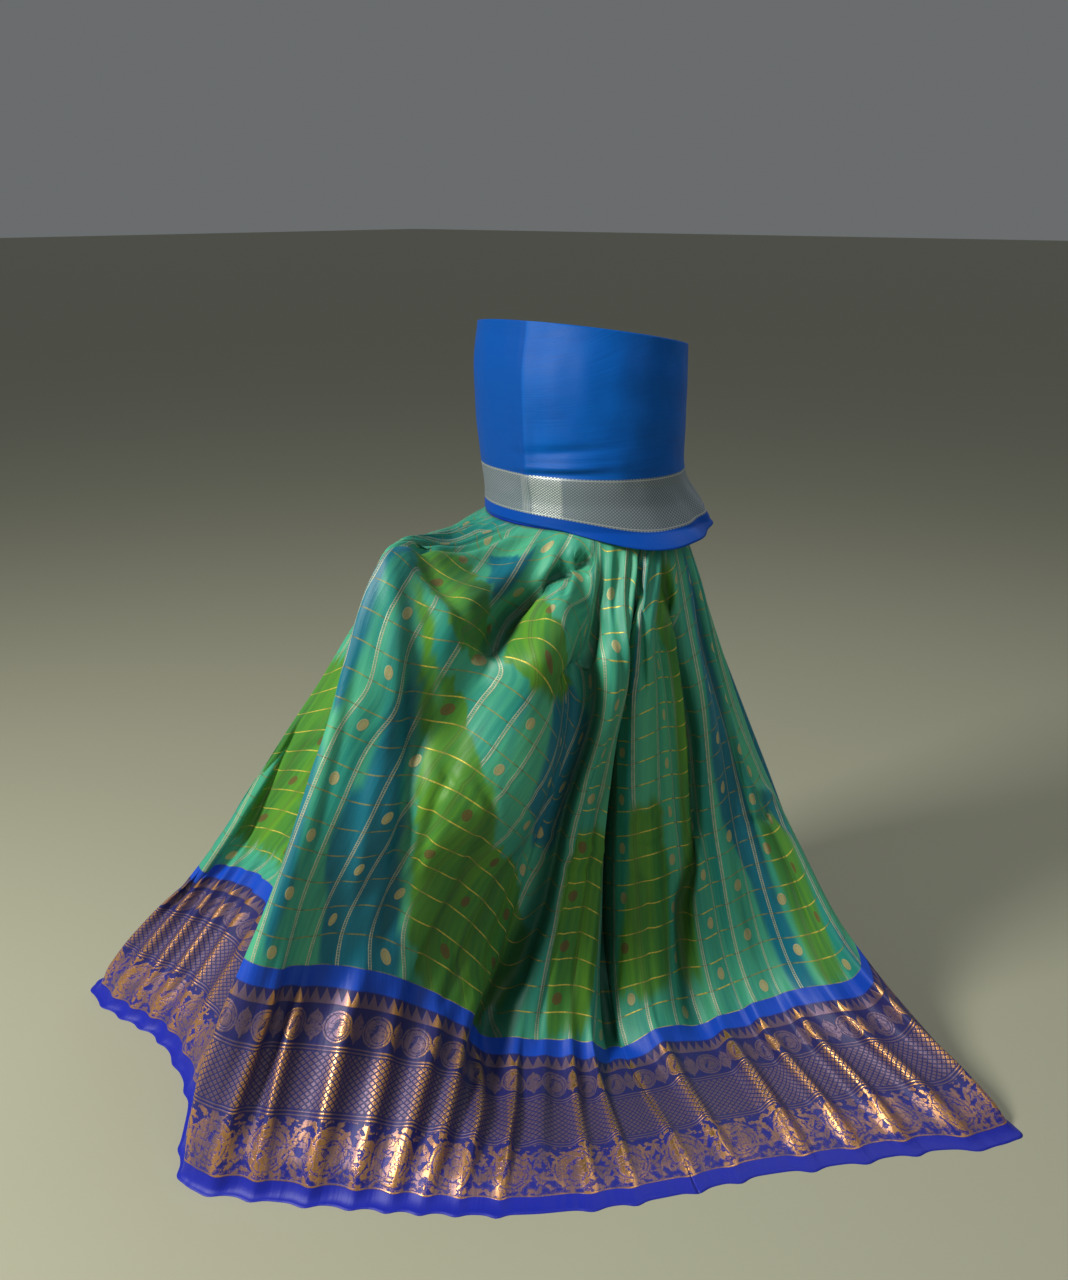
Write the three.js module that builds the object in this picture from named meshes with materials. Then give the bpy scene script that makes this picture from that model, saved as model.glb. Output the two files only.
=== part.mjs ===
// A floor-length gathered silk skirt with its strapless bodice cloth, spread over a seated lap.
// The origin is the centre of the waist, the wearer faces -Y and the floor is waistHeight below.
import * as THREE from 'three';

// Driving dimensions in millimetres.
const waistHeight = 730;
const waistHalfWidth = 141;
const waistHalfDepth = 115;
const clothWall = 1.6;
const bandWall = 2.0;
const bandBottom = -8;
const bandTop = 24;
const seamGap = 0.3;
const borderDepth = 280;
const hemReading = 70;
const bodiceTop = 256;
const bodiceWall = 1.2;

// Where the cloth's length starts round the waist: the spread left corner of the hem.
const firstWaistTurn = -52;
const frontStart = -115;
const frontSeam = 1140;
const frontEnd = 1665;
const frontRightColumns = 80;
const frontLeftColumns = 36;
const backColumns = 38;
const skirtRows = 20;
const nearby = 5;
const fineSteps = 72;

// The groin crease dips where the lap reaches far out.
const creasePart = 0.45;
const creaseSlope = 0.1;
const creaseReach = 180;

// The spread of the skirt, a row for each direction. Turns are degrees from the front towards the
// wearer's left. The lap is where the cloth breaks over the knees and hips, the foot is the height
// of the border's upper edge above the floor, and square says how squarely it stands to the hem.
const spread = [
  { hemTurn: -47, hemReach: 730, lapTurn: -20, lapReach: 256, drop: 26, foot: 214, sag: -2, square: 0.3 },
  { hemTurn: -33, hemReach: 621, lapTurn: -14, lapReach: 290, drop: 14, foot: 225, sag: 4, square: 0.5 },
  { hemTurn: -20, hemReach: 606, lapTurn: -10, lapReach: 314, drop: 10, foot: 246, sag: 10, square: 0.4 },
  { hemTurn: -10.6, hemReach: 655, lapTurn: -8, lapReach: 332, drop: 12, foot: 252, sag: 6, square: 0.45 },
  { hemTurn: -5.2, hemReach: 680, lapTurn: -4.5, lapReach: 344, drop: 20, foot: 250, sag: 2, square: 0.55 },
  { hemTurn: -0.1, hemReach: 650, lapTurn: 8, lapReach: 326, drop: 80, foot: 236, sag: 0, square: 0.65 },
  { hemTurn: 9, hemReach: 597, lapTurn: 25, lapReach: 292, drop: 150, foot: 206, sag: 0, square: 0.7 },
  { hemTurn: 19, hemReach: 560, lapTurn: 41, lapReach: 242, drop: 164, foot: 130, sag: 20, square: 0.7 },
  { hemTurn: 31, hemReach: 533, lapTurn: 49, lapReach: 212, drop: 158, foot: 62, sag: 36, square: 0.7 },
  { hemTurn: 41.4, hemReach: 515, lapTurn: 54.5, lapReach: 197, drop: 150, foot: 45, sag: 44, square: 0.7 },
  { hemTurn: 55.5, hemReach: 503, lapTurn: 61, lapReach: 188, drop: 130, foot: 38, sag: 44, square: 0.7 },
  { hemTurn: 64.6, hemReach: 506, lapTurn: 68, lapReach: 190, drop: 136, foot: 44, sag: 40, square: 0.65 },
  { hemTurn: 74.2, hemReach: 535, lapTurn: 81, lapReach: 202, drop: 176, foot: 60, sag: 30, square: 0.5 },
  { hemTurn: 85, hemReach: 590, lapTurn: 101, lapReach: 226, drop: 256, foot: 92, sag: 18, square: 0.2 },
  { hemTurn: 95, hemReach: 671, lapTurn: 116, lapReach: 244, drop: 320, foot: 132, sag: 8, square: 0 },
  { hemTurn: 101, hemReach: 560, lapTurn: 124, lapReach: 246, drop: 330, foot: 180, sag: 6, square: 0 },
  { hemTurn: 118, hemReach: 400, lapTurn: 138, lapReach: 216, drop: 260, foot: 240, sag: 4, square: 0 },
  { hemTurn: 150, hemReach: 290, lapTurn: 163, lapReach: 184, drop: 160, foot: 262, sag: 4, square: 0 },
  { hemTurn: 185, hemReach: 252, lapTurn: 191, lapReach: 172, drop: 140, foot: 268, sag: 2, square: 0 },
  { hemTurn: 220, hemReach: 214, lapTurn: 220, lapReach: 168, drop: 132, foot: 270, sag: 2, square: 0 },
  { hemTurn: 255, hemReach: 262, lapTurn: 252, lapReach: 178, drop: 110, foot: 262, sag: 4, square: 0 },
  { hemTurn: 279, hemReach: 380, lapTurn: 286, lapReach: 196, drop: 82, foot: 236, sag: 10, square: 0.1 },
  { hemTurn: 302.4, hemReach: 604, lapTurn: 322, lapReach: 228, drop: 46, foot: 204, sag: 6, square: 0.3 },
];

// The large folds, a row for each: where it lies along the hem, how far it drifts from there
// towards the waist and bows halfway, its half width, its depth (valleys are negative), and the
// part of the length it runs.
const folds = [
  { at: 150, drift: 800, bow: 0, width: 66, depth: -30, from: 0.02, to: 0.50 },
  { at: 290, drift: 800, bow: 0, width: 84, depth: 18, from: 0.06, to: 0.56 },
  { at: 372, drift: 20, bow: 0, width: 56, depth: -34, from: 0.30, to: 0.98 },
  { at: 500, drift: 10, bow: 0, width: 34, depth: 12, from: 0.30, to: 1.00 },
  { at: 644, drift: 0, bow: 0, width: 34, depth: -32, from: 0.02, to: 0.44 },
  { at: 716, drift: 0, bow: 0, width: 34, depth: 16, from: 0.06, to: 0.42 },
  { at: 790, drift: -290, bow: 0, width: 15, depth: -13, from: 0.12, to: 0.66 },
  { at: 551, drift: 214, bow: 0, width: 22, depth: -9, from: 0.38, to: 0.82 },
  { at: 570, drift: 298, bow: 0, width: 22, depth: -9, from: 0.42, to: 0.84 },
  { at: 704, drift: 123, bow: 0, width: 30, depth: -14, from: 0.44, to: 0.90 },
  { at: 862, drift: -30, bow: 0, width: 40, depth: -46, from: 0.06, to: 0.88 },
  { at: 945, drift: 0, bow: 0, width: 18, depth: 12, from: 0.66, to: 1.02 },
  { at: 1096, drift: 0, bow: 44, width: 34, depth: -34, from: 0.04, to: 0.92 },
  { at: 1176, drift: 0, bow: 30, width: 30, depth: 8, from: 0.04, to: 0.80 },
  { at: 1256, drift: 0, bow: 26, width: 34, depth: -30, from: 0.04, to: 0.84 },
  { at: 1300, drift: 0, bow: 0, width: 22, depth: 8, from: 0.06, to: 0.90 },
  { at: 1346, drift: -10, bow: 0, width: 24, depth: -15, from: 0.06, to: 0.86 },
  { at: 1424, drift: 0, bow: 0, width: 30, depth: -16, from: 0.06, to: 0.84 },
  { at: 1535, drift: -10, bow: 0, width: 30, depth: -16, from: 0.10, to: 0.88 },
];

// Flutes stand in the border. On the front they are placed one by one, a row for each.
const flutes = [
  { at: 18, width: 20, height: 8 },
  { at: 72, width: 20, height: 8 },
  { at: 113, width: 16, height: 8 },
  { at: 152, width: 16, height: 8 },
  { at: 200, width: 20, height: 9 },
  { at: 262, width: 24, height: 8 },
  { at: 330, width: 22, height: 7 },
  { at: 448, width: 18, height: 6 },
  { at: 495, width: 18, height: 8 },
  { at: 551, width: 18, height: 8 },
  { at: 602, width: 18, height: 9 },
  { at: 668, width: 20, height: 11 },
  { at: 722, width: 18, height: 9 },
  { at: 766, width: 16, height: 9 },
  { at: 806, width: 16, height: 9 },
  { at: 848, width: 16, height: 8 },
  { at: 896, width: 15, height: 9 },
  { at: 1010, width: 20, height: 9 },
  { at: 1062, width: 16, height: 9 },
  { at: 1140, width: 18, height: 9 },
  { at: 1196, width: 18, height: 10 },
  { at: 1290, width: 20, height: 11 },
  { at: 1361, width: 20, height: 10 },
  { at: 1428, width: 20, height: 11 },
  { at: 1500, width: 22, height: 10 },
  { at: 1572, width: 20, height: 9 },
];
const foldFade = 0.16;
const foldOpening = 1.5;
const fluteStand = { from: 0.52, to: 0.80 };

// Plain flutes hang round the back. They swell and shrink a little from one to the next.
const backFlutes = {
  start: 1600, count: 16, height: 13, from: 0.12, to: 0.7, fadeIn: 100, fadeOut: 60, lean: 0.7, beat: 1.3,
};

// The gathers under the waistband, which fade out down the cloth.
const gathers = {
  count: 40, height: 3.2, start: 0.05, fadeFrom: 0.12, fadeTo: 0.42, lean: 0.5, beat: 90,
};

// The relief turns level at the hem, and the rows above it keep clear of the floor.
const levelPart = 0.86;
const floorClearance = 4;
const clearanceStep = 2;
const clearanceRows = 3;

// The bodice, a row for each height. It rests on the waistband.
const onBand = bandWall * 0.5 + seamGap + bodiceWall;
const bodice = [
  { height: bodiceTop, halfWidth: 149, halfDepth: 115, forward: 4 },
  { height: 196, halfWidth: 153, halfDepth: 121, forward: 9 },
  { height: 120, halfWidth: 151, halfDepth: 120, forward: 7 },
  { height: 60, halfWidth: 147, halfDepth: 119, forward: 3 },
  { height: bandTop, halfWidth: waistHalfWidth + onBand, halfDepth: waistHalfDepth + onBand, forward: 0 },
  { height: bandBottom, halfWidth: waistHalfWidth + onBand, halfDepth: waistHalfDepth + onBand, forward: 0 },
];
const bodiceDrop = 24;
const bodiceFlare = 30;
const bodiceLift = 22;
const bodiceBackDip = 46;
const bodiceOverBand = 4;
const bodiceHang = { turn: 76, width: 40 };
const bodiceHip = { turn: 122, width: 44, top: 90 };
const bodiceColumns = 48;
const bodiceRows = 12;

const radians = Math.PI / 180;
const rowsRepeated = 4;

function smooth(low, high, value) {
  const t = Math.min(Math.max((value - low) / (high - low), 0), 1);
  return t * t * (3 - 2 * t);
}

function bump(offset, width) {
  return Math.exp(-((offset / width) ** 2));
}

// A smooth curve through values at rising places, by Hermite pieces.
function through(places, values, place) {
  const last = places.length - 1;
  let k = 0;
  while (k < last - 1 && place > places[k + 1]) k += 1;
  const slope = (i) => {
    const a = Math.max(i - 1, 0);
    const b = Math.min(i + 1, last);
    return (values[b] - values[a]) / (places[b] - places[a]);
  };
  const span = places[k + 1] - places[k];
  const t = Math.min(Math.max((place - places[k]) / span, 0), 1);
  const t2 = t * t;
  const t3 = t2 * t;
  return (2 * t3 - 3 * t2 + 1) * values[k] + (t3 - 2 * t2 + t) * span * slope(k)
    + (3 * t2 - 2 * t3) * values[k + 1] + (t3 - t2) * span * slope(k + 1);
}

function polar(turn, reach, z) {
  return new THREE.Vector3(reach * Math.sin(turn * radians), -reach * Math.cos(turn * radians), z);
}

// The rows are repeated on both sides of the round, so that the curves close smoothly.
function measureHem() {
  const count = spread.length;
  const starts = [0];
  for (let i = 0; i < count; i += 1) {
    const here = polar(spread[i].hemTurn, spread[i].hemReach, 0);
    const next = polar(spread[(i + 1) % count].hemTurn, spread[(i + 1) % count].hemReach, 0);
    starts.push(starts[i] + here.distanceTo(next));
  }
  const around = starts[count];
  const rows = [];
  for (let i = -rowsRepeated; i < count + rowsRepeated; i += 1) {
    const lap = Math.floor(i / count);
    const row = spread[((i % count) + count) % count];
    rows.push({
      ...row,
      place: starts[((i % count) + count) % count] + lap * around,
      hemTurn: row.hemTurn + lap * 360,
      lapTurn: row.lapTurn + lap * 360,
    });
  }
  return { around, rows };
}

const hem = measureHem();
const columnsOf = Object.fromEntries(
  ['place', 'hemTurn', 'hemReach', 'lapTurn', 'lapReach', 'drop', 'foot', 'sag', 'square']
    .map((name) => [name, hem.rows.map((row) => row[name])]),
);

function directionAt(along) {
  const value = (name) => through(columnsOf.place, columnsOf[name], along);
  return {
    hemTurn: value('hemTurn'),
    hemReach: value('hemReach'),
    lapTurn: value('lapTurn'),
    lapReach: value('lapReach'),
    drop: value('drop'),
    foot: value('foot'),
    sag: value('sag'),
    square: value('square'),
  };
}

function waistPoint(turn) {
  return new THREE.Vector3(
    waistHalfWidth * Math.sin(turn * radians),
    -waistHalfDepth * Math.cos(turn * radians),
    bandBottom - seamGap,
  );
}

function hemPoint(along) {
  const turn = through(columnsOf.place, columnsOf.hemTurn, along);
  return polar(turn, through(columnsOf.place, columnsOf.hemReach, along), -waistHeight);
}

// The border stands nearly square to the hem: its direction lies between the two.
function borderInward(along, foot, lap, squareness) {
  const across = hemPoint(along + hemReading).sub(hemPoint(along - hemReading));
  const square = new THREE.Vector3(-across.y, across.x, 0).normalize();
  const towardsLap = new THREE.Vector3(lap.x - foot.x, lap.y - foot.y, 0).normalize();
  return towardsLap.lerp(square, squareness).normalize();
}

// One thread of the cloth from the waist to the hem, as points at even distances.
function thread(along, rows) {
  const row = directionAt(along);
  const waist = waistPoint(firstWaistTurn + (along / hem.around) * 360);
  const lap = polar(row.lapTurn, row.lapReach, -row.drop);
  const foot = polar(row.hemTurn, row.hemReach, -waistHeight);
  const inward = borderInward(along, foot, lap, row.square);
  const flat = Math.sqrt(borderDepth ** 2 - row.foot ** 2);
  const border = foot.clone().addScaledVector(inward, flat).setZ(row.foot - waistHeight);
  const middle = lap.clone().lerp(border, 0.5).addScaledVector(inward, row.sag);
  middle.z -= row.sag * 0.5;
  const crease = waist.clone().lerp(lap, creasePart);
  crease.z -= creaseSlope * Math.max(row.lapReach - creaseReach, 0);
  const knots = [waist, crease, lap, middle, border, foot];
  const places = [0];
  for (let i = 1; i < knots.length; i += 1) {
    places.push(places[i - 1] + knots[i].distanceTo(knots[i - 1]));
  }
  const points = [];
  const lengths = [0];
  for (let i = 0; i <= fineSteps; i += 1) {
    const place = (places[5] * i) / fineSteps;
    points.push(new THREE.Vector3(
      through(places, knots.map((p) => p.x), place),
      through(places, knots.map((p) => p.y), place),
      through(places, knots.map((p) => p.z), place),
    ));
    if (i > 0) lengths.push(lengths[i - 1] + points[i].distanceTo(points[i - 1]));
  }
  const even = [];
  let k = 0;
  for (let j = 0; j <= rows; j += 1) {
    const target = (lengths[fineSteps] * j) / rows;
    while (k < fineSteps - 1 && lengths[k + 1] < target) k += 1;
    const t = (target - lengths[k]) / (lengths[k + 1] - lengths[k]);
    even.push(points[k].clone().lerp(points[k + 1], Math.min(Math.max(t, 0), 1)));
  }
  return even;
}

function backFlute(place, part) {
  const { start, count, height, from, to, fadeIn, fadeOut, lean, beat } = backFlutes;
  const opening = smooth(start, start + fadeIn, place);
  const hidden = opening * (1 - smooth(hem.around - fadeOut, hem.around, place));
  const turn = ((place - start) / (hem.around - start)) * count;
  const sway = Math.sin(2 * Math.PI * turn + lean * Math.sin(beat * turn));
  return height * smooth(from, to, part) * hidden * sway;
}

function gather(place, part) {
  const { count, height, start, fadeFrom, fadeTo, lean, beat } = gathers;
  const wave = Math.sin((2 * Math.PI * count * place) / hem.around + lean * Math.sin(place / beat));
  return height * smooth(0, start, part) * (1 - smooth(fadeFrom, fadeTo, part)) * wave;
}

// How far the cloth stands out from its smooth spread, at a place along and a part of the length.
function relief(along, part) {
  const place = ((along % hem.around) + hem.around) % hem.around;
  let rise = 0;
  for (const fold of folds) {
    const centre = fold.at + fold.drift * (1 - part) + fold.bow * 4 * part * (1 - part);
    const opening = smooth(fold.from, fold.from + foldFade, part);
    const fade = opening * (1 - smooth(fold.to - foldFade, fold.to, part));
    const width = fold.width * (foldOpening - (foldOpening - 1) * part);
    rise += fold.depth * fade * bump(place - centre, width);
  }
  const stand = smooth(fluteStand.from, fluteStand.to, part);
  for (const flute of flutes) {
    rise += flute.height * stand * bump(place - flute.at, flute.width);
  }
  return rise + backFlute(place, part) + gather(place, part);
}

// The outward normals of a grid of points, from each point's neighbours.
function normalsOf(grid, closed) {
  const last = grid.length - 1;
  return grid.map((column, i) => column.map((point, j) => {
    const before = closed ? grid[(i + last) % (last + 1)] : grid[Math.max(i - 1, 0)];
    const after = closed ? grid[(i + 1) % (last + 1)] : grid[Math.min(i + 1, last)];
    const across = new THREE.Vector3().subVectors(after[j], before[j]);
    const down = new THREE.Vector3().subVectors(
      column[Math.min(j + 1, column.length - 1)],
      column[Math.max(j - 1, 0)],
    );
    return down.cross(across).normalize();
  }));
}

// The floor carries the cloth: no row above the hem comes lower than a little over it.
function keepAboveFloor(point, rowsFromHem) {
  const least = floorClearance + Math.min(rowsFromHem, clearanceRows) * clearanceStep;
  const over = (point.z + waistHeight - least) / floorClearance;
  return point.setZ(-waistHeight + least + Math.log1p(Math.exp(over)) * floorClearance);
}

// The cloth's own surface at one place along: the thread with its folds standing out from it.
function foldedThread(along, smoothThreads) {
  const normals = normalsOf(smoothThreads, false)[1];
  return smoothThreads[1].map((point, j) => {
    const part = j / skirtRows;
    const out = normals[j].clone();
    out.z *= 1 - smooth(levelPart, 1, part);
    const moved = point.clone().addScaledVector(out.normalize(), relief(along, part));
    return j === skirtRows ? moved.setZ(-waistHeight) : keepAboveFloor(moved, skirtRows - j);
  });
}

// Both faces of the cloth at one place along, moved along it by half the gap where it is sewn.
function skirtColumn(along, shift) {
  const places = [-2, -1, 0, 1, 2].map((step) => along + step * nearby);
  const threads = places.map((place) => thread(place, skirtRows));
  const folded = [1, 2, 3].map((k) => foldedThread(places[k], threads.slice(k - 1, k + 2)));
  const walls = normalsOf(folded, false)[1];
  const outer = folded[1].map((point, j) => {
    const across = new THREE.Vector3().subVectors(folded[2][j], folded[0][j]).setLength(1);
    return point.clone().addScaledVector(across, shift);
  });
  const inner = outer.map((point, j) => {
    const wall = walls[j].clone();
    if (j === skirtRows) wall.setZ(0).normalize();
    return point.clone().addScaledVector(wall, -clothWall);
  });
  return { outer, inner };
}

function skirtGrid(start, end, columns) {
  const outer = [];
  const inner = [];
  for (let i = 0; i <= columns; i += 1) {
    let shift = 0;
    if (i === 0) shift = seamGap / 2;
    if (i === columns) shift = -seamGap / 2;
    const column = skirtColumn(start + ((end - start) * i) / columns, shift);
    outer.push(column.outer);
    inner.push(column.inner);
  }
  return { outer, inner };
}

// A closed wall between two grids of points, open or closed round.
function wallGeometry(outer, inner, closed) {
  const columns = outer.length;
  const rows = outer[0].length;
  const positions = [];
  const index = [];
  const at = (side, i, j) => (side * columns + (i % columns)) * rows + j;
  for (const grid of [outer, inner]) {
    for (const column of grid) {
      for (const point of column) positions.push(point.x, point.y, point.z);
    }
  }
  const quad = (a, b, c, d) => index.push(a, b, c, a, c, d);
  const steps = closed ? columns : columns - 1;
  for (let i = 0; i < steps; i += 1) {
    for (let j = 0; j < rows - 1; j += 1) {
      quad(at(0, i, j), at(0, i, j + 1), at(0, i + 1, j + 1), at(0, i + 1, j));
      quad(at(1, i, j), at(1, i + 1, j), at(1, i + 1, j + 1), at(1, i, j + 1));
    }
    quad(at(0, i, 0), at(0, i + 1, 0), at(1, i + 1, 0), at(1, i, 0));
    quad(at(0, i, rows - 1), at(1, i, rows - 1), at(1, i + 1, rows - 1), at(0, i + 1, rows - 1));
  }
  if (!closed) {
    const end = columns - 1;
    for (let j = 0; j < rows - 1; j += 1) {
      quad(at(0, 0, j), at(1, 0, j), at(1, 0, j + 1), at(0, 0, j + 1));
      quad(at(0, end, j), at(0, end, j + 1), at(1, end, j + 1), at(1, end, j));
    }
  }
  const geometry = new THREE.BufferGeometry();
  geometry.setAttribute('position', new THREE.Float32BufferAttribute(positions, 3));
  geometry.setIndex(index);
  geometry.computeVertexNormals();
  return geometry;
}

function waistbandGeometry() {
  const outer = [];
  const inner = [];
  const levels = [bandTop, (bandTop + bandBottom) / 2, bandBottom];
  for (let i = 0; i < bodiceColumns; i += 1) {
    const turn = ((i * 360) / bodiceColumns) * radians;
    const ring = (grow, z) => new THREE.Vector3(
      (waistHalfWidth + grow) * Math.sin(turn),
      -(waistHalfDepth + grow) * Math.cos(turn),
      z,
    );
    outer.push(levels.map((z) => ring(bandWall * 0.5, z)));
    inner.push(levels.map((z) => ring(-bandWall * 0.5, z)));
  }
  return wallGeometry(outer, inner, true);
}

// The difference between two turns, from -180 to 180 degrees.
function apart(turn, other) {
  return ((((turn - other + 180) % 360) + 360) % 360) - 180;
}

// The bodice's lower edge lies on the lap in front and hangs over the hip at the wearer's left.
function bodiceEdge(turn) {
  return bandBottom + bodiceOverBand - bodiceDrop * bump(apart(turn, bodiceHang.turn), bodiceHang.width);
}

// The upper edge is level over the front and lower at the back.
function bodiceRim(turn) {
  return bodiceTop - bodiceBackDip * (0.5 - 0.5 * Math.cos(turn * radians));
}

function bodicePoint(turn, part) {
  const bottom = bodiceEdge(turn);
  const rim = bodiceRim(turn);
  const z = rim + (bottom - rim) * part;
  const heights = bodice.map((row) => -row.height);
  const size = (name) => {
    const values = bodice.map((row) => row[name]);
    return Math.max(through(heights, values, -Math.max(z, bandBottom)), values[values.length - 1]);
  };
  const hip = bump(apart(turn, bodiceHip.turn), bodiceHip.width);
  const flare = bodiceFlare * hip * smooth(-bodiceHip.top, -bottom, -z) ** 2;
  const lift = bodiceLift * Math.max((bandBottom - z) / bodiceDrop, 0);
  const angle = turn * radians;
  return new THREE.Vector3(
    (size('halfWidth') + flare + lift) * Math.sin(angle),
    -(size('halfDepth') + flare + lift) * Math.cos(angle) - size('forward'),
    z,
  );
}

function bodiceGeometry() {
  const outer = [];
  for (let i = 0; i < bodiceColumns; i += 1) {
    const turn = (i * 360) / bodiceColumns;
    outer.push([]);
    for (let j = 0; j <= bodiceRows; j += 1) outer[i].push(bodicePoint(turn, j / bodiceRows));
  }
  const normals = normalsOf(outer, true);
  const inner = outer.map((column, i) => column.map((point, j) => {
    const wall = normals[i][j].clone();
    if (j === 0 || j === bodiceRows) wall.setZ(0).normalize();
    return point.clone().addScaledVector(wall, -bodiceWall);
  }));
  return wallGeometry(outer, inner, true);
}

function named(name, geometry, color, roughness, metalness) {
  const material = new THREE.MeshStandardMaterial({ color, roughness, metalness });
  const mesh = new THREE.Mesh(geometry, material);
  mesh.name = name;
  return mesh;
}

function skirtPanel(name, start, end, columns) {
  const { outer, inner } = skirtGrid(start, end, columns);
  return named(name, wallGeometry(outer, inner, false), 0x2f9a86, 0.45, 0.1);
}

const lehenga = new THREE.Group();
const silk = new THREE.Group();
silk.add(skirtPanel('skirt_front_right', frontStart, frontSeam, frontRightColumns));
silk.add(skirtPanel('skirt_front_left', frontSeam, frontEnd, frontLeftColumns));
silk.add(skirtPanel('skirt_back', frontEnd, frontStart + hem.around, backColumns));
silk.add(named('waistband', waistbandGeometry(), 0x1c46c8, 0.5, 0));
lehenga.add(silk);
lehenga.add(named('bodice_cloth', bodiceGeometry(), 0x1560c8, 0.42, 0.05));

export default lehenga;
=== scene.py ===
"""A gathered check silk skirt with a zari border and its bodice cloth, over a seated lap."""
import logging
import math
from dataclasses import dataclass, field
from enum import Enum
from typing import Optional, Sequence, Union

import bmesh
import bpy
import numpy as np
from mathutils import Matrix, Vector


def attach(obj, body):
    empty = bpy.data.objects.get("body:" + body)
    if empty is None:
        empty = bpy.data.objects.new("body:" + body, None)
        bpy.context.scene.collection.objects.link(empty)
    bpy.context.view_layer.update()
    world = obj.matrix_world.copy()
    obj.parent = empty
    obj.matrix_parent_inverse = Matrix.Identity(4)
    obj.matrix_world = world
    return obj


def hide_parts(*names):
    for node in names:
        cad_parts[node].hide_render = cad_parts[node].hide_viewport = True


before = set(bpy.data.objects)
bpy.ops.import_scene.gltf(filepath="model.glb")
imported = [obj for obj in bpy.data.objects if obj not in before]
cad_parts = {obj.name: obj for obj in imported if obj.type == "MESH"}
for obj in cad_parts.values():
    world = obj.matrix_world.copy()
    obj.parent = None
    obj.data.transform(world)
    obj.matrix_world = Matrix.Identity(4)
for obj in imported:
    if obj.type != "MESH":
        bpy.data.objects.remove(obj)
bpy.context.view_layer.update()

log = logging.getLogger("lehenga")

WAIST_HEIGHT = 730.0
WAIST_HALF_WIDTH = 141.0
WAIST_HALF_DEPTH = 115.0
BAND_TOP = 24.0
BAND_BOTTOM = -8.0
SEAM_GAP = 0.3
CHECK = 43.0
RISE = 37.0
BORDER = 280.0


def smooth(low: float, high: float, value: np.ndarray) -> np.ndarray:
    """Rise from 0 at low to 1 at high with level ends.

    Args:
        low: The value where the rise starts.
        high: The value where it ends.
        value: The values to read it at.

    Returns:
        The rise at each value.
    """
    t = np.clip((value - low) / (high - low), 0, 1)
    return t * t * (3 - 2 * t)


def bump(offset: np.ndarray, width: Union[float, np.ndarray]) -> np.ndarray:
    """Give a soft bell of a half width, 1 at no offset."""
    return np.exp(-((offset / width) ** 2))


def through(places: np.ndarray, values: np.ndarray, at: np.ndarray) -> np.ndarray:
    """Run a smooth curve through values at rising places, by Hermite pieces.

    Args:
        places: The rising places.
        values: A number or a point for each place.
        at: Where the curve is read.

    Returns:
        The curve's values there.
    """
    last = len(places) - 1
    k = np.clip(np.searchsorted(places, at, side="left") - 1, 0, last - 1)
    lower = np.maximum(np.arange(last + 1) - 1, 0)
    upper = np.minimum(np.arange(last + 1) + 1, last)
    slope = ((values[upper].T - values[lower].T) / (places[upper] - places[lower])).T
    span = places[k + 1] - places[k]
    t = np.clip((at - places[k]) / span, 0, 1)
    if values.ndim > 1:
        span, t = span[:, None], t[:, None]
    t2, t3 = t * t, t * t * t
    start = (2 * t3 - 3 * t2 + 1) * values[k] + (t3 - 2 * t2 + t) * span * slope[k]
    return start + (3 * t2 - 2 * t3) * values[k + 1] + (t3 - t2) * span * slope[k + 1]


def polar(turn: np.ndarray, reach: np.ndarray, z: np.ndarray) -> np.ndarray:
    """Place points by their turn in degrees from the front, their reach and their height."""
    angle = np.radians(turn)
    return np.stack([reach * np.sin(angle), -reach * np.cos(angle), z + 0 * reach], -1)


def soft_noise(x: np.ndarray, y: np.ndarray, seed: int) -> np.ndarray:
    """Give a smooth noise from -1 to 1 on a unit lattice.

    Args:
        x: The first coordinate, in lattice steps.
        y: The second coordinate, in lattice steps.
        seed: Which noise.

    Returns:
        The noise at each point.
    """
    table = np.random.default_rng(seed).uniform(-1, 1, (64, 64))
    i, j = np.floor(x).astype(int), np.floor(y).astype(int)
    a, b = x - i, y - j
    a, b = a * a * (3 - 2 * a), b * b * (3 - 2 * b)
    i, j, i1, j1 = i % 64, j % 64, (i + 1) % 64, (j + 1) % 64
    low = table[i, j] * (1 - a) + table[i1, j] * a
    high = table[i, j1] * (1 - a) + table[i1, j1] * a
    return low * (1 - b) + high * b


@dataclass(frozen=True)
class Spread:
    """One direction of the skirt's spread, from the waist over the lap to the hem.

    Turns are degrees from the front towards the wearer's left. The foot is the height of the
    border's upper edge above the floor, and square says how squarely it stands to the hem.
    """

    hem_turn: float
    hem_reach: float
    lap_turn: float
    lap_reach: float
    drop: float
    foot: float
    sag: float
    square: float


@dataclass(frozen=True)
class Fold:
    """A large fold: its place along the hem, its path from there, its size and its run."""

    at: float
    drift: float
    bow: float
    width: float
    depth: float
    start: float
    end: float

    def centre(self, part: np.ndarray) -> np.ndarray:
        """Say where the fold lies along the cloth at a part of its length."""
        return self.at + self.drift * (1 - part) + self.bow * 4 * part * (1 - part)


@dataclass(frozen=True)
class Flute:
    """A flute that stands in the border: its place along the hem, its half width and height."""

    at: float
    width: float
    height: float


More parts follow.
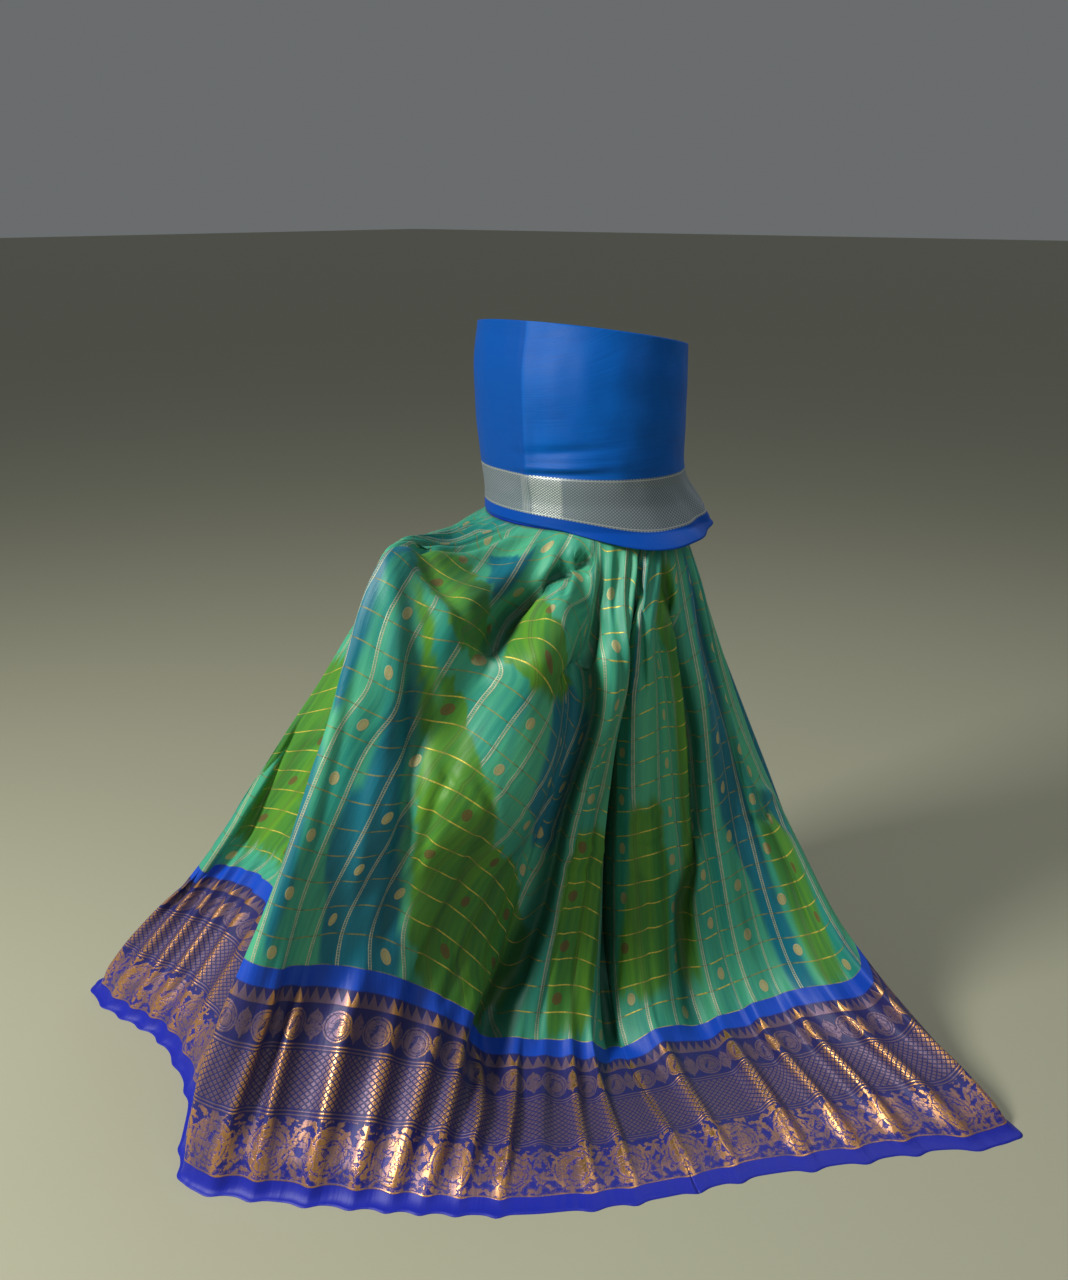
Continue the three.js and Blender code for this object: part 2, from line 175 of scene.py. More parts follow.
@dataclass(frozen=True)
class Crease:
    """A crease or a ridge: its half width, its height and its path as (along, part) pairs."""

    width: float
    height: float
    path: tuple[tuple[float, float], ...]

    def rise(self, place: np.ndarray, down: np.ndarray, length: float) -> np.ndarray:
        """Say how far the crease lifts the cloth.

        Args:
            place: The places along the cloth.
            down: The distances down the cloth.
            length: The cloth's length, which the path's parts are of.

        Returns:
            The lift at each place, which fades towards both ends of the path.
        """
        points = np.array(self.path) * np.array([1.0, length])
        runs = np.linalg.norm(np.diff(points, axis=0), axis=1)
        whole, before = runs.sum(), 0.0
        nearest = np.full(place.shape, np.inf)
        fraction = np.zeros(place.shape)
        for start, end, run in zip(points, points[1:], runs):
            step = (end - start) / run
            reach = np.clip((place - start[0]) * step[0] + (down - start[1]) * step[1], 0, run)
            away = np.hypot(place - start[0] - reach * step[0], down - start[1] - reach * step[1])
            closer = away < nearest
            nearest = np.where(closer, away, nearest)
            fraction = np.where(closer, (before + reach) / whole, fraction)
            before += run
        fading = smooth(0, 0.2, fraction) * (1 - smooth(0.8, 1, fraction))
        return self.height * bump(nearest, self.width) * (0.15 + 0.85 * fading)


@dataclass(frozen=True)
class Facet:
    """A soft patch of another colour on the shot silk, used for the painted green sheen, the deep
    teal and the painted shade in the folds.

    Each row of its outline is a part of the length, with the patch's two edges along the cloth
    there. It fades out past its first and last rows.
    """

    strength: float
    outline: tuple[tuple[float, float, float], ...]

    def cover(self, place: np.ndarray, part: np.ndarray, soft: float, fade: float) -> np.ndarray:
        """Say how strongly the patch shows.

        Args:
            place: The places along the cloth.
            part: The parts of the length.
            soft: How far its side edges blend.
            fade: How far its ends blend, as a part of the length.

        Returns:
            A strength from 0 to 1.
        """
        parts, low, high = (np.array(column) for column in zip(*self.outline))
        left, right = np.interp(part, parts, low), np.interp(part, parts, high)
        side = smooth(-soft, soft, place - left) * smooth(-soft, soft, right - place)
        ends = smooth(parts[0] - fade, parts[0] + fade / 2, part)
        ends = ends * (1 - smooth(parts[-1] - fade / 2, parts[-1] + fade, part))
        return self.strength * side * ends


SPREAD: tuple[Spread, ...] = (
    Spread(-47, 730, -20, 256, 26, 214, -2, 0.3),
    Spread(-33, 621, -14, 290, 14, 225, 4, 0.5),
    Spread(-20, 606, -10, 314, 10, 246, 10, 0.4),
    Spread(-10.6, 655, -8, 332, 12, 252, 6, 0.45),
    Spread(-5.2, 680, -4.5, 344, 20, 250, 2, 0.55),
    Spread(-0.1, 650, 8, 326, 80, 236, 0, 0.65),
    Spread(9, 597, 25, 292, 150, 206, 0, 0.7),
    Spread(19, 560, 41, 242, 164, 130, 20, 0.7),
    Spread(31, 533, 49, 212, 158, 62, 36, 0.7),
    Spread(41.4, 515, 54.5, 197, 150, 45, 44, 0.7),
    Spread(55.5, 503, 61, 188, 130, 38, 44, 0.7),
    Spread(64.6, 506, 68, 190, 136, 44, 40, 0.65),
    Spread(74.2, 535, 81, 202, 176, 60, 30, 0.5),
    Spread(85, 590, 101, 226, 256, 92, 18, 0.2),
    Spread(95, 671, 116, 244, 320, 132, 8, 0),
    Spread(101, 560, 124, 246, 330, 180, 6, 0),
    Spread(118, 400, 138, 216, 260, 240, 4, 0),
    Spread(150, 290, 163, 184, 160, 262, 4, 0),
    Spread(185, 252, 191, 172, 140, 268, 2, 0),
    Spread(220, 214, 220, 168, 132, 270, 2, 0),
    Spread(255, 262, 252, 178, 110, 262, 4, 0),
    Spread(279, 380, 286, 196, 82, 236, 10, 0.1),
    Spread(302.4, 604, 322, 228, 46, 204, 6, 0.3),
)

FOLDS: tuple[Fold, ...] = (
    Fold(150, 800, 0, 66, -30, 0.02, 0.50),
    Fold(290, 800, 0, 84, 18, 0.06, 0.56),
    Fold(372, 20, 0, 56, -34, 0.30, 0.98),
    Fold(500, 10, 0, 34, 12, 0.30, 1.00),
    Fold(644, 0, 0, 34, -32, 0.02, 0.44),
    Fold(716, 0, 0, 34, 16, 0.06, 0.42),
    Fold(790, -290, 0, 15, -13, 0.12, 0.66),
    Fold(551, 214, 0, 22, -9, 0.38, 0.82),
    Fold(570, 298, 0, 22, -9, 0.42, 0.84),
    Fold(704, 123, 0, 30, -14, 0.44, 0.90),
    Fold(862, -30, 0, 40, -46, 0.06, 0.88),
    Fold(945, 0, 0, 18, 12, 0.66, 1.02),
    Fold(1096, 0, 44, 34, -34, 0.04, 0.92),
    Fold(1176, 0, 30, 30, 8, 0.04, 0.80),
    Fold(1256, 0, 26, 34, -30, 0.04, 0.84),
    Fold(1300, 0, 0, 22, 8, 0.06, 0.90),
    Fold(1346, -10, 0, 24, -15, 0.06, 0.86),
    Fold(1424, 0, 0, 30, -16, 0.06, 0.84),
    Fold(1535, -10, 0, 30, -16, 0.10, 0.88),
)

FLUTES: tuple[Flute, ...] = (
    Flute(18, 20, 8),
    Flute(72, 20, 8),
    Flute(113, 16, 8),
    Flute(152, 16, 8),
    Flute(200, 20, 9),
    Flute(262, 24, 8),
    Flute(330, 22, 7),
    Flute(448, 18, 6),
    Flute(495, 18, 8),
    Flute(551, 18, 8),
    Flute(602, 18, 9),
    Flute(668, 20, 11),
    Flute(722, 18, 9),
    Flute(766, 16, 9),
    Flute(806, 16, 9),
    Flute(848, 16, 8),
    Flute(896, 15, 9),
    Flute(1010, 20, 9),
    Flute(1062, 16, 9),
    Flute(1140, 18, 9),
    Flute(1196, 18, 10),
    Flute(1290, 20, 11),
    Flute(1361, 20, 10),
    Flute(1428, 20, 11),
    Flute(1500, 22, 10),
    Flute(1572, 20, 9),
)

CREASES: tuple[Crease, ...] = (
    Crease(12, -20, ((838, 0.03), (700, 0.06), (648, 0.10),
                     (638, 0.13), (644, 0.18), (655, 0.26))),
    Crease(18, 7, ((740, 0.09), (708, 0.13), (704, 0.18), (712, 0.24))),
    Crease(12, -8, ((364, 0.14), (565, 0.19), (623, 0.22), (661, 0.26))),
    Crease(10, -24, ((1100, 0.03), (1124, 0.20), (1138, 0.40), (1138, 0.60), (1122, 0.80))),
    Crease(13, -24, ((866, 0.08), (881, 0.23), (884, 0.36), (890, 0.46),
                     (890, 0.55), (880, 0.65), (842, 0.76))),
    Crease(13, 9, ((838, 0.30), (846, 0.50), (834, 0.64), (796, 0.75))),
    Crease(10, -18, ((1246, 0.03), (1332, 0.15), (1337, 0.31),
                     (1323, 0.45), (1276, 0.56), (1254, 0.72))),
    Crease(14, 7, ((1160, 0.10), (1176, 0.25), (1180, 0.45), (1168, 0.70))),
    Crease(14, 6, ((1010, 0.12), (1040, 0.30), (1056, 0.50), (1050, 0.70))),
    Crease(10, -8, ((1459, 0.08), (1454, 0.27), (1463, 0.40), (1472, 0.58))),
    Crease(8, -8, ((726, 0.44), (738, 0.55), (738, 0.64), (736, 0.74))),
    Crease(8, -9, ((790, 0.46), (786, 0.57), (776, 0.65), (764, 0.76))),
    Crease(8, -7, ((671, 0.38), (661, 0.44), (675, 0.52), (692, 0.64))),
    Crease(6, -5, ((648, 0.40), (680, 0.42), (716, 0.43))),
    Crease(6, -5, ((690, 0.39), (714, 0.41), (744, 0.47))),
    Crease(7, 4, ((886, 0.46), (944, 0.45), (1073, 0.45))),
    Crease(7, -4, ((896, 0.48), (968, 0.48), (1087, 0.48))),
    Crease(7, 4, ((1178, 0.43), (1215, 0.40), (1281, 0.43))),
    Crease(7, -4, ((1182, 0.46), (1215, 0.46), (1262, 0.46))),
    Crease(7, 3, ((1187, 0.49), (1224, 0.51), (1267, 0.51))),
    Crease(12, 5, ((470, 0.18), (556, 0.27), (575, 0.36), (589, 0.48), (627, 0.62), (644, 0.72))),
    Crease(10, -7, ((530, 0.19), (570, 0.29), (604, 0.38), (632, 0.46), (666, 0.58), (692, 0.70))),
    Crease(8, -4, ((532, 0.32), (532, 0.40), (536, 0.47), (541, 0.55), (536, 0.66))),
    Crease(9, 5, ((1473, 0.40), (1560, 0.42), (1596, 0.45))),
    Crease(9, -5, ((1435, 0.46), (1557, 0.45), (1599, 0.51))),
    Crease(9, -7, ((1068, 0.02), (1173, 0.12), (1210, 0.24))),
    Crease(8, -5, ((738, 0.03), (723, 0.11))),
    Crease(9, -6, ((930, 0.30), (946, 0.46), (940, 0.62), (930, 0.76))),
    Crease(8, -5, ((1010, 0.34), (1020, 0.50), (1010, 0.68))),
    Crease(8, -5, ((1210, 0.50), (1206, 0.62), (1198, 0.76))),
    Crease(12, -4, ((120, 0.52), (300, 0.44))),
    Crease(12, -4, ((160, 0.60), (330, 0.52))),
    Crease(10, -6, ((60, 0.46), (90, 0.60), (110, 0.72))),
    Crease(10, -6, ((180, 0.50), (200, 0.62), (206, 0.74))),
)

# Painted sheen: where the shot silk is painted green, as its facets catch the light, with bright
# weft lines and dull warp lines.
PAINTED_SHEEN_GREENS: tuple[Facet, ...] = (
    Facet(1.0, ((0.29, 604, 620), (0.32, 618, 650), (0.36, 630, 684), (0.40, 628, 716),
                (0.44, 632, 730), (0.48, 650, 752), (0.53, 670, 833), (0.60, 695, 884),
                (0.65, 706, 880), (0.69, 738, 874), (0.74, 762, 812))),
    Facet(0.9, ((0.21, 541, 548), (0.25, 560, 577), (0.29, 580, 602), (0.34, 599, 622),
                (0.38, 612, 638))),
    Facet(1.0, ((0.11, 640, 690), (0.15, 641, 730), (0.18, 651, 770), (0.22, 666, 857),
                (0.25, 712, 830))),
    Facet(0.75, ((0.12, 440, 540), (0.14, 470, 590), (0.17, 480, 636), (0.21, 560, 644),
                 (0.26, 640, 656))),
    Facet(0.9, ((0.43, 932, 1076), (0.47, 918, 1094), (0.52, 922, 1100), (0.61, 930, 1086),
                (0.71, 950, 1050))),
    Facet(0.9, ((0.40, 1182, 1248), (0.51, 1178, 1256), (0.58, 1170, 1250), (0.67, 1150, 1238))),
    Facet(0.8, ((0.05, 1228, 1300), (0.17, 1286, 1334), (0.25, 1292, 1338), (0.45, 1286, 1324),
                (0.55, 1272, 1298), (0.67, 1254, 1290))),
    Facet(0.75, ((0.46, 1478, 1566), (0.49, 1482, 1580), (0.58, 1490, 1571), (0.71, 1496, 1538))),
    Facet(0.85, ((0.36, 0, 200), (0.46, -10, 240), (0.56, 0, 250), (0.64, 30, 250),
                 (0.69, 90, 250))),
    Facet(0.35, ((0.10, 940, 1060), (0.30, 960, 1080), (0.40, 950, 1080))),
    Facet(0.9, ((0.20, 1940, 2060), (0.60, 1900, 2090))),
    Facet(0.9, ((0.35, 2420, 2560), (0.72, 2440, 2600))),
    Facet(0.9, ((0.25, 2880, 2990), (0.65, 2900, 3040))),
)

# Where it shows a deep teal blue.
DEEPS: tuple[Facet, ...] = (
    Facet(1.0, ((0.16, 470, 512), (0.22, 480, 517), (0.26, 490, 527), (0.30, 496, 532),
                (0.35, 496, 527), (0.41, 500, 521))),
    Facet(1.0, ((0.34, 582, 596), (0.38, 571, 609), (0.42, 570, 614), (0.46, 571, 626),
                (0.49, 558, 640), (0.56, 557, 668), (0.61, 584, 688), (0.67, 606, 706),
                (0.73, 624, 720))),
    Facet(0.8, ((0.46, 490, 512), (0.56, 494, 522), (0.62, 502, 532), (0.70, 508, 526))),
    Facet(0.4, ((0.24, 540, 560), (0.32, 544, 590), (0.38, 560, 585))),
    Facet(1.0, ((0.23, 750, 866), (0.28, 770, 882), (0.34, 766, 884), (0.41, 758, 886),
                (0.47, 832, 888))),
    Facet(0.5, ((0.26, 706, 728), (0.33, 712, 728), (0.40, 716, 728))),
    Facet(0.9, ((0.05, 584, 606), (0.08, 530, 606), (0.11, 560, 608), (0.14, 592, 604))),
    Facet(0.8, ((0.04, 1104, 1146), (0.11, 1150, 1170), (0.18, 1162, 1182), (0.24, 1168, 1184))),
    Facet(1.0, ((0.04, 1386, 1448), (0.12, 1382, 1462), (0.24, 1378, 1464), (0.34, 1375, 1454),
                (0.44, 1386, 1462), (0.54, 1428, 1473), (0.64, 1438, 1488), (0.73, 1446, 1484))),
    Facet(0.7, ((0.42, 1540, 1580), (0.46, 1540, 1594), (0.50, 1566, 1599))),
    Facet(0.7, ((0.65, 1570, 1594), (0.73, 1567, 1594))),
    Facet(0.7, ((0.30, 300, 380), (0.70, 290, 400))),
    Facet(0.9, ((0.10, 1700, 1780), (0.90, 1680, 1790))),
    Facet(0.9, ((0.10, 2200, 2290), (0.90, 2190, 2310))),
    Facet(0.8, ((0.10, 2680, 2760), (0.90, 2660, 2780))),
)

# Painted shade: where the silk is darkened towards a shadow colour, down in the main folds.
PAINTED_FOLD_SHADES: tuple[Facet, ...] = (
    Facet(0.8, ((0.06, 852, 872), (0.23, 866, 892), (0.36, 868, 900), (0.46, 874, 910),
                (0.56, 870, 916), (0.65, 856, 908), (0.75, 810, 884))),
    Facet(0.75, ((0.03, 800, 850), (0.06, 688, 726), (0.10, 640, 670), (0.13, 628, 652),
                 (0.18, 634, 654), (0.25, 646, 662))),
    Facet(0.5, ((0.09, 590, 660), (0.14, 560, 644), (0.18, 600, 648), (0.22, 630, 654))),
    Facet(0.8, ((0.02, 1094, 1108), (0.20, 1116, 1132), (0.40, 1129, 1148), (0.60, 1126, 1152),
                (0.79, 1100, 1134))),
    Facet(0.65, ((0.03, 1238, 1256), (0.15, 1324, 1344), (0.31, 1328, 1350), (0.45, 1312, 1336),
                 (0.56, 1264, 1290), (0.72, 1244, 1264))),
    Facet(0.4, ((0.08, 1450, 1466), (0.27, 1446, 1462), (0.40, 1443, 1457), (0.58, 1466, 1480))),
    Facet(0.5, ((0.44, 720, 733), (0.55, 731, 745), (0.64, 732, 746), (0.74, 730, 742))),
    Facet(0.5, ((0.46, 784, 797), (0.57, 780, 794), (0.65, 770, 784), (0.76, 758, 772))),
    Facet(0.5, ((0.19, 524, 536), (0.29, 562, 578), (0.38, 597, 612), (0.46, 626, 639),
                (0.58, 660, 673), (0.70, 685, 698))),
    Facet(0.5, ((0.40, 225, 275), (0.72, 235, 280))),
)


class Side(Enum):
    """Which stretch of the skirt a piece is, as its name and its CAD node."""

    FRONT_RIGHT = ("silk_front_right", "skirt_front_right")
    FRONT_LEFT = ("silk_front_left", "skirt_front_left")
    BACK = ("silk_back", "skirt_back")


@dataclass
class SkirtForm:
    """The skirt as a grid of points round the waist and down its length.

    The columns follow the threads of the hem and the rows are parts of the length.
    """

    waist_half_width: float = WAIST_HALF_WIDTH
    waist_half_depth: float = WAIST_HALF_DEPTH
    waist_z: float = BAND_BOTTOM - SEAM_GAP
    first_waist_turn: float = -52.0
    hem_reading: float = 70.0
    crease_part: float = 0.45
    crease_slope: float = 0.1
    crease_reach: float = 180.0
    front_start: float = -115.0
    front_seam: float = 1140.0
    front_end: float = 1665.0
    columns: tuple[int, int, int] = (262, 112, 170)
    rows: int = 168
    fade: float = 0.16
    back_flute_start: float = 1600.0
    back_flute_count: int = 16
    back_flute_height: float = 13.0
    back_flute_lean: float = 0.7
    back_flute_beat: float = 1.3
    back_fades: tuple[float, float] = (100.0, 60.0)
    gather_count: int = 40
    gather_height: float = 3.2
    level_part: float = 0.86
    floor_clearance: float = 4.0
    clearance_step: float = 2.0
    clearance_rows: float = 3.0
    cad_rows: float = 20.0
    hem_lift: float = 0.4
    fine_steps: int = 144
    hiding: float = 11.0
    hiding_folds: tuple[int, ...] = (372, 862, 1096, 1256, 1346, 1424, 1535)
    weave_turn: float = 0.22
    weave_middle: tuple[float, float] = (740.0, 0.45)
    length: float = 1000.0
    evening: float = 55.0
    facet_soft: float = 11.0
    facet_fade: float = 0.03
    flute_lift: float = 1.6
    flute_share: float = 0.66
    ridge_share: float = 0.34
    ridge_rise: tuple[float, float] = (0.66, 0.78)
    ridge_crest: tuple[float, float] = (0.72, 0.98)
    ridge_fade: float = 60.0
    back_ridge: float = 0.8
    turned_from: tuple[float, float] = (560.0, 700.0)
    turned_to: tuple[float, float] = (868.0, 892.0)
    turned_below: tuple[float, float] = (0.10, 0.26)
    turned_above: tuple[float, float] = (0.60, 0.76)
    wrap: float = 300.0
    facet_ripple: float = 0.012

    def __post_init__(self) -> None:
        """Measure the hem and repeat the spread's rows on both sides of the round."""
        names = Spread.__dataclass_fields__
        table = {name: np.array([getattr(row, name) for row in SPREAD]) for name in names}
        count = len(SPREAD)
        points = polar(table["hem_turn"], table["hem_reach"], 0.0)
        steps = np.linalg.norm(np.roll(points, -1, 0) - points, axis=1)
        starts = np.concatenate([[0], np.cumsum(steps)])
        self.around = float(starts[-1])
        index = np.arange(-4, count + 4)
        rounds = np.floor_divide(index, count)
        self.table = {name: values[index % count].astype(float) for name, values in table.items()}
        self.table["hem_turn"] += rounds * 360
        self.table["lap_turn"] += rounds * 360
        self.places = starts[index % count] + rounds * self.around

    def hem_point(self, along: np.ndarray) -> np.ndarray:
        """Place points of the hem on the floor."""
        turn = through(self.places, self.table["hem_turn"], along)
        return polar(turn, through(self.places, self.table["hem_reach"], along), -WAIST_HEIGHT)

    def knots(self, along: np.ndarray) -> np.ndarray:
        """Place the six points that each thread runs through, from the waist to the hem."""
        row = {name: through(self.places, values, along) for name, values in self.table.items()}
        turn = np.radians(self.first_waist_turn + along / self.around * 360)
        waist = np.stack([
            self.waist_half_width * np.sin(turn),
            -self.waist_half_depth * np.cos(turn),
            np.full_like(turn, self.waist_z),
        ], -1)
        lap = polar(row["lap_turn"], row["lap_reach"], -row["drop"])
        foot = polar(row["hem_turn"], row["hem_reach"], -WAIST_HEIGHT)
        across = self.hem_point(along + self.hem_reading)
        across = across - self.hem_point(along - self.hem_reading)
        square = np.stack([-across[:, 1], across[:, 0], 0 * across[:, 0]], -1)
        square /= np.linalg.norm(square, axis=1)[:, None]
        inward = (lap - foot) * np.array([1, 1, 0])
        inward /= np.linalg.norm(inward, axis=1)[:, None]
        inward = inward * (1 - row["square"][:, None]) + square * row["square"][:, None]
        inward /= np.linalg.norm(inward, axis=1)[:, None]
        border = foot + inward * np.sqrt(BORDER ** 2 - row["foot"] ** 2)[:, None]
        border[:, 2] = row["foot"] - WAIST_HEIGHT
        middle = (lap + border) / 2 + inward * row["sag"][:, None]
        middle[:, 2] -= row["sag"] * 0.5
        crease = waist * (1 - self.crease_part) + lap * self.crease_part
        crease[:, 2] -= self.crease_slope * np.maximum(row["lap_reach"] - self.crease_reach, 0)
        return np.stack([waist, crease, lap, middle, border, foot], 1)

    def threads(self, along: np.ndarray) -> np.ndarray:
        """Run each thread through its knots, as points at even distances."""
        grid = np.empty((len(along), self.rows + 1, 3))
        for i, knots in enumerate(self.knots(along)):
            steps = np.linalg.norm(np.diff(knots, axis=0), axis=1)
            places = np.concatenate([[0], np.cumsum(steps)])
            fine = through(places, knots, np.linspace(0, places[-1], self.fine_steps + 1))
            run = np.concatenate([[0], np.cumsum(np.linalg.norm(np.diff(fine, axis=0), axis=1))])
            even = np.linspace(0, run[-1], self.rows + 1)
            for axis in range(3):
                grid[i, :, axis] = np.interp(even, run, fine[:, axis])
        return grid

    def sway(self, place: np.ndarray) -> np.ndarray:
        """Give the phase of the hidden back's flutes, in turns."""
        turn = (place - self.back_flute_start) / (self.around - self.back_flute_start)
        turn = turn * self.back_flute_count
        return turn + self.back_flute_lean * np.sin(self.back_flute_beat * turn) / (2 * math.pi)

    def relief(self, along: np.ndarray, part: np.ndarray) -> np.ndarray:
        """Say how far the cloth stands out from its smooth spread.

        Args:
            along: The places along the hem, as a column.
            part: The parts of the length, as a row.

        Returns:
            The rise at each place and part.
        """
        place = np.mod(along, self.around)
        rise = np.zeros((along.shape[0], part.shape[1]))
        for fold in FOLDS:
            opening = smooth(fold.start, fold.start + self.fade, part)
            fading = opening * (1 - smooth(fold.end - self.fade, fold.end, part))
            width = fold.width * (1.5 - 0.5 * part)
            rise += fold.depth * fading * bump(place - fold.centre(part), width)
        stand, settled = smooth(0.60, 0.82, part), 1 - 0.6 * smooth(0.88, 1.0, part)
        for flute in FLUTES:
            height = flute.height * self.flute_lift * settled
            rise += height * stand * bump(place - flute.at, flute.width * self.flute_share)
        start = self.back_flute_start
        hidden = smooth(start, start + self.back_fades[0], place)
        hidden = hidden * (1 - smooth(self.around - self.back_fades[1], self.around, place))
        swing = np.sin(2 * math.pi * self.sway(place))
        rise += self.back_flute_height * smooth(0.12, 0.7, part) * hidden * swing
        gather = 2 * math.pi * self.gather_count * place / self.around + 0.5 * np.sin(place / 90)
        gathered = smooth(0, 0.05, part) * (1 - smooth(0.12, 0.42, part))
        return rise + self.gather_height * gathered * np.sin(gather)

    def fine_relief(self, along: np.ndarray, part: np.ndarray) -> np.ndarray:
        """Say how far the fine creases and the cloth's unevenness stand out."""
        place = np.mod(along, self.around) + 0 * part
        down = part * self.length + 0 * along
        rise = np.zeros_like(place)
        for crease in CREASES:
            rise += crease.rise(place, down, self.length)
        calm = smooth(0.0, 0.1, part) * (1 - 0.6 * smooth(0.92, 1.0, part))
        rise += 1.3 * calm * soft_noise(place / 46, down / 150, 3)
        rise += 0.9 * calm * soft_noise(place / 23 + down / 160, down / 80, 5)
        return rise

    def ridge_glints(self) -> np.ndarray:
        """Say how strongly the painted glints on the flutes' ridges show, from 0 to 1 at each
        point of the grid.
        """
        place = np.mod(self.along, self.around)[:, None]
        shown = np.zeros((len(self.along), self.rows + 1))
        for flute in FLUTES:
            strength = min(flute.height / 10, 1) * smooth(*self.ridge_rise, self.part)
            width = flute.width * self.ridge_share
            shown = np.maximum(shown, strength * bump(place - flute.at, width))
        hidden = smooth(self.back_flute_start, self.back_flute_start + self.ridge_fade, place)
        crest = smooth(*self.ridge_crest, np.sin(2 * math.pi * self.sway(place)))
        back = self.back_ridge * hidden * crest * smooth(*self.ridge_rise, self.part)
        return np.maximum(shown, back)

    @staticmethod
    def normals(grid: np.ndarray) -> np.ndarray:
        """Work out a closed grid's outward normals from each point's neighbours."""
        across = np.roll(grid, -1, 0) - np.roll(grid, 1, 0)
        down = np.gradient(grid, axis=1)
        normal = np.cross(down, across)
        return normal / np.maximum(np.linalg.norm(normal, axis=-1, keepdims=True), 1e-9)

    def build(self) -> None:
        """Work out the grid, its threads and its distances from the hem."""
        ends = (self.front_start, self.front_seam, self.front_end, self.front_start + self.around)
        runs = [np.linspace(ends[k], ends[k + 1], self.columns[k] + 1)[:-1] for k in range(3)]
        self.along = np.concatenate(runs)
        part = np.linspace(0, 1, self.rows + 1)[None, :]
        along = self.along[:, None]
        base = self.threads(self.along)
        self.spread = base
        out = self.normals(base)
        out[..., 2] *= 1 - smooth(self.level_part, 1, part)
        out /= np.linalg.norm(out, axis=-1, keepdims=True)
        folded = base + out * self.relief(along, part)[..., None]
        fine = self.normals(folded)
        fine[..., 2] *= 1 - smooth(self.level_part, 1, part)
        folded += fine * self.fine_relief(along, part)[..., None]
        self.grid = self.keep_above_floor(folded, part)
        self.part = part
        self.thread = self.true_threads()
        steps = np.linalg.norm(np.diff(self.grid, axis=1), axis=-1)
        down = np.concatenate([np.zeros((len(self.along), 1)), np.cumsum(steps, axis=1)], axis=1)
        self.from_hem = self.even_out(down[:, -1:] - down)
        self.turn_weave()

    def panel_area(self, pick: np.ndarray) -> float:
        """Measure the plain panel that a stretch of the smooth spread could be cut from.

        Args:
            pick: The stretch's columns.

        Returns:
            Its area in square metres, as it narrows evenly from the hem to the waist.
        """
        stretch = self.spread[pick]
        ends = np.linalg.norm(np.diff(stretch[:, [0, -1]], axis=0), axis=-1).sum(axis=0)
        drop = np.linalg.norm(np.diff(stretch, axis=1), axis=-1).sum(axis=1).mean()
        return float(ends.mean() * drop) / 1e6

    def turn_weave(self) -> None:
        """Turn the weave on the knee's inner side, where the cloth is drawn aslant."""
        place = self.along[:, None]
        inside = smooth(*self.turned_from, place) * (1 - smooth(*self.turned_to, place))
        inside = inside * smooth(*self.turned_below, self.part)
        inside = inside * (1 - smooth(*self.turned_above, self.part))
        middle, height = self.weave_middle
        self.thread = self.thread + self.weave_turn * inside * (self.part - height) * self.length
        self.from_hem = self.from_hem + self.weave_turn * inside * (place - middle)

    def even_out(self, lengths: np.ndarray) -> np.ndarray:
        """Even the distances from the hem out between neighbouring threads."""
        gap = np.abs(self.along[:, None] - self.along[None, :])
        gap = np.minimum(gap, self.around - gap)
        share = bump(gap, self.evening)
        return (share / share.sum(axis=1, keepdims=True)) @ lengths

    def keep_above_floor(self, grid: np.ndarray, part: np.ndarray) -> np.ndarray:
        """Lift the rows above the hem a little off the floor, and lay the hem on it."""
        from_hem = (1 - part) * self.cad_rows
        step = np.minimum(from_hem, self.clearance_rows) * self.clearance_step
        least = self.floor_clearance + step
        height = grid[..., 2] + WAIST_HEIGHT
        over = (height - least) / self.floor_clearance
        lifted = least + np.log1p(np.exp(np.clip(over, -30, 30))) * self.floor_clearance
        lifted = np.where(over > 30, height, lifted)
        settle = smooth(0, 1, from_hem)
        grid[..., 2] = -WAIST_HEIGHT + lifted * settle + self.hem_lift * (1 - settle)
        return grid

    def valleys(self) -> list[Fold]:
        """List the valleys that hide the gathered cloth, in order along the hem."""
        front = [fold for fold in FOLDS if fold.at in self.hiding_folds]
        place = np.linspace(self.back_flute_start + 40, self.around - 40, 4000)
        phase = self.sway(place)
        back = []
        for turn in range(1, self.back_flute_count):
            at = float(np.interp(turn - 0.25, phase, place))
            back.append(Fold(at, 0, 0, 20, -8, 0, 1))
        return front + back

    def true_threads(self) -> np.ndarray:
        """Say which thread of the cloth lies at each point.

        The cloth shows at its true size between the valleys, and what the spread can't hold
        is hidden in them.

        Returns:
            The thread's place along the flat cloth at each point of the grid.
        """
        along = np.concatenate([self.along, self.along[:1] + self.around])
        grid = np.concatenate([self.grid, self.grid[:1]], axis=0)
        steps = np.linalg.norm(np.diff(grid, axis=0), axis=-1)
        run = np.concatenate([np.zeros((1, self.rows + 1)), np.cumsum(steps, axis=0)], axis=0)
        valleys = self.valleys()
        thread = np.empty((len(self.along), self.rows + 1))
        for j in range(self.rows + 1):
            part = np.array(j / self.rows)
            centres = [float(v.centre(part)) for v in valleys]
            hems = [v.at for v in valleys]
            last = self.front_start + self.around
            low = [self.front_start] + [(a + b) / 2 for a, b in zip(centres, centres[1:])]
            flat = [self.front_start] + [(a + b) / 2 for a, b in zip(hems, hems[1:])]
            low, flat = low + [last], flat + [last]
            at_run = np.interp(low, along, run[:, j])
            for k, centre in enumerate(centres):
                inside = (self.along >= low[k] - 1e-6) & (self.along < low[k + 1] - 1e-6)
                if not inside.any():
                    continue
                shown = at_run[k + 1] - at_run[k]
                cloth = flat[k + 1] - flat[k]
                hidden = max(cloth - shown, 0.0)
                scale = min(cloth / shown, 1.0)
                here = self.along[inside]
                width = self.hiding
                step = 0.5 + 0.5 * np.tanh((here - centre) / width)
                ends = 0.5 + 0.5 * np.tanh((np.array([low[k], low[k + 1]]) - centre) / width)
                step = (step - ends[0]) / (ends[1] - ends[0])
                seen = (run[:-1, j][inside] - at_run[k]) * scale
                thread[inside, j] = flat[k] + seen + hidden * step
        return thread

